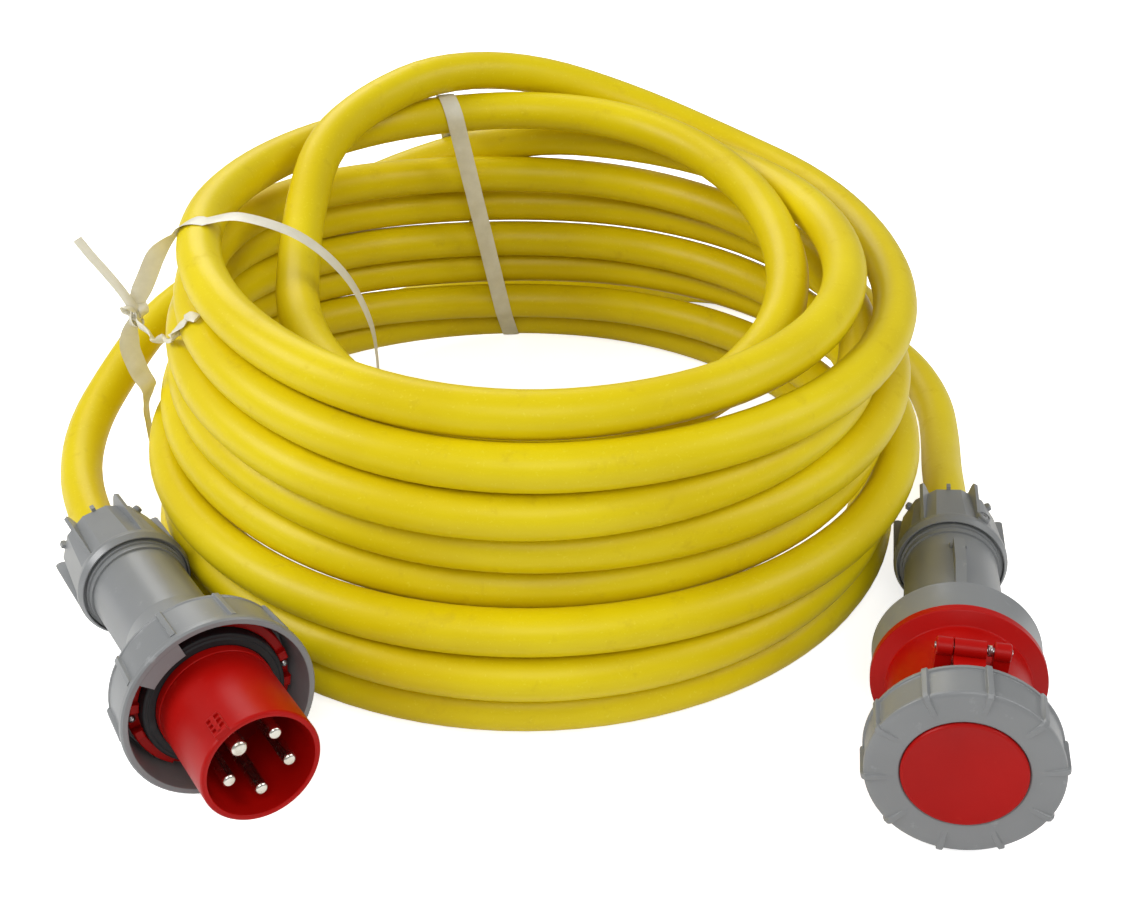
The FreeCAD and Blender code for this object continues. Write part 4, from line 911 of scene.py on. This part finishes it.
def arch(line):
    # the loose loop, narrow where it enters the knot
    path = offTheCord(smoothPath(straps["arch"], straps["archSteps"]), line, straps["air"])
    twist = np.array(straps["archTwist"])
    number = np.arange(len(path)) / straps["archSteps"]
    across = np.stack([np.interp(number, twist[:, 0], twist[:, k]) for k in (1, 2, 3)], 1)
    fromEnd = np.minimum(np.arange(len(path)), np.arange(len(path))[::-1])
    full = np.minimum(1, straps["knottedWidth"] + fromEnd / straps["widensOver"])
    return ribbon(path, across, straps["width"] * full, straps["thickness"], False)


def looseEnd(line):
    # a straight narrow strap, pushed clear of the cord
    path = offTheCord(smoothPath(straps["looseEnd"], straps["archSteps"]), line, straps["air"])
    across = np.broadcast_to(np.array(straps["looseAcross"]), path.shape)
    return ribbon(path, across, straps["width"] * straps["looseShare"], straps["looseThick"], False)


def crumpledEnd(line):
    # it rolls about its own path, whose small waves have another length each way
    path = smoothPath(straps["crumpledEnd"], straps["crumpledSteps"])
    path = offTheCord(path, line, straps["air"] + straps["crumpledAir"])
    share = np.linspace(0, 1, len(path))
    start, more, uneven = straps["crumpledRoll"]
    roll = start + more * share + uneven * np.sin(share * 23)
    across = np.stack([0.3 * np.cos(roll), -0.5 + 0.4 * np.cos(roll), np.sin(roll)], 1)
    one, two, three = straps["crumpledWaves"]
    waves = np.stack([np.sin(share * one), np.sin(share * two), np.cos(share * three)], 1)
    width = straps["width"] * (straps["crumpledShare"] + 0.1 * np.sin(share * 19))
    return ribbon(path + waves * straps["crumple"], across, width, straps["crumpledThick"], False)


def knot():
    # a trefoil: sines and cosines of one and two turns across, and of three turns in depth
    t = np.linspace(0, 2 * math.pi, straps["knotSteps"], endpoint=False)
    size, deep, tall = measures(straps, "knotSize knotDeep knotTall")
    path = np.stack([(np.sin(t) + 2 * np.sin(2 * t)) * size, -np.sin(3 * t) * size * deep,
                     (np.cos(t) - 2 * np.cos(2 * t)) * size * tall], 1) + np.array(straps["knot"])
    across = np.stack([np.cos(t), np.full_like(t, 1.1), np.sin(2 * t)], 1)
    return ribbon(path, across, straps["knotWidth"], straps["knotThick"], True)


def leftStrap():
    # arch, both ends and the knot as one piece
    line = cordLine(route)
    points, faces = joined([arch(line), looseEnd(line), crumpledEnd(line), knot()])
    piece = addPiece("tieStrapLeft", points * mm, faces, "cord", "strap_plastic")
    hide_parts("tie_strap_left")


for row in frame["record"]["subparts"]:
    wear(solids[row["node"]], row["material_slot"])
print("finishes on", len(solids), "solids")

coilMarks, coilSettled, coilLine = coilPoints()
route = cableRoute(coilLine)
cord = makeCord("cable", route)
wear(cord, "cable_rubber")
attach(cord, "cord")
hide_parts("cable_coil", "cable_tail_plug", "cable_tail_connector", "plug_cable_end",
            "connector_cable_end")
print("cable laid,", len(route), "points")

for end in ends:
    glandNut(end)
lockScrewBoss()
plugRing()
lidLockingRing()
flangeSeal()
flangeScrews()
plugInsert()
contactPins()
shroudKey()
connectorCollar()
connectorFlare()
lidDisc()
backStrap()
leftStrap()
print("ends and straps dressed")

floor = {"size": 12.0, "colour": paint(250, 250, 250), "drop": -0.0006, "glow": 0.75}
lamps = {
    "left": {"place": (-1.7, -0.4, 1.5), "size": 1.1, "power": 24},
    "right": {"place": (1.7, -0.4, 1.5), "size": 1.2, "power": 14},
    "back": {"place": (-0.7, 1.6, 1.6), "size": 1.5, "power": 17},
    "front": {"place": (0.1, -1.7, 1.7), "size": 1.2, "power": 13},
}
lampAim = (0, 0, 0.1)
sky = {"light": 0.36, "seen": 1.0}  # its light on the part, and its brightness where the camera sees it
camera = {"place": (27.8, -987.2, 673.8), "down": 32.3, "focalPixels": 1538.5, "photoWidth": 1127,
          "sensor": 36.0, "sees": 50.0}


def makeFloor():
    half, drop = floor["size"] / 2, floor["drop"]
    corners = [(-half, -half, drop), (half, -half, drop), (half, half, drop), (-half, half, drop)]
    mesh = bpy.data.meshes.new("floor")
    mesh.from_pydata(corners, [], [(0, 1, 2, 3)])
    ground = bpy.data.objects.new("floor", mesh)
    bpy.context.scene.collection.objects.link(ground)
    finish = newFinish("floorPaper")
    seen = finish.node("ShaderNodeLightPath", output="Is Camera Ray")
    lit = finish.node("ShaderNodeBsdfDiffuse", {}, {"Color": floor["colour"]})
    glow = finish.node("ShaderNodeEmission", {}, {"Color": (1, 1, 1, 1), "Strength": seen * floor["glow"]})
    both = finish.node("ShaderNodeAddShader", {}, {0: lit, 1: glow})
    finish.node("ShaderNodeOutputMaterial", {}, {"Surface": both})
    mesh.materials.append(finish.owner)


def makeLights():
    for name, lamp in lamps.items():
        data = bpy.data.lights.new(name, "AREA")
        data.shape = "DISK"
        data.size = lamp["size"]
        data.energy = lamp["power"]
        lampObject = bpy.data.objects.new(name, data)
        lampObject.location = lamp["place"]
        aim = Vector(lampAim) - Vector(lamp["place"])
        lampObject.rotation_euler = aim.to_track_quat("-Z", "Y").to_euler()
        bpy.context.scene.collection.objects.link(lampObject)


def makeSky():
    world = bpy.data.worlds.new("studio")
    bpy.context.scene.world = world
    finish = Finish(world)
    kinds = ("Is Camera Ray", "Is Transmission Ray")
    rays = [finish.node("ShaderNodeLightPath", output=kind) for kind in kinds]
    seen = rays[0].maths("MAXIMUM", *rays)
    light, bright = (finish.node("ShaderNodeBackground", {}, {"Color": (1, 1, 1, 1), "Strength": sky[key]})
                     for key in ("light", "seen"))
    either = finish.node("ShaderNodeMixShader", {}, {0: seen, 1: light, 2: bright})
    finish.node("ShaderNodeOutputWorld", {}, {"Surface": either})


def makeCamera():
    data = bpy.data.cameras.new("photoView")
    data.sensor_width = camera["sensor"]
    data.lens = camera["sensor"] * camera["focalPixels"] / camera["photoWidth"]
    data.clip_end = camera["sees"]
    view = bpy.data.objects.new("photoView", data)
    view.location = [v * mm for v in camera["place"]]
    view.rotation_euler = (math.radians(90 - camera["down"]), 0, 0)
    bpy.context.scene.collection.objects.link(view)
    bpy.context.scene.camera = view
    bpy.context.scene.view_settings.view_transform = "Standard"


makeFloor()
makeLights()
makeSky()
makeCamera()
print("stage ready")
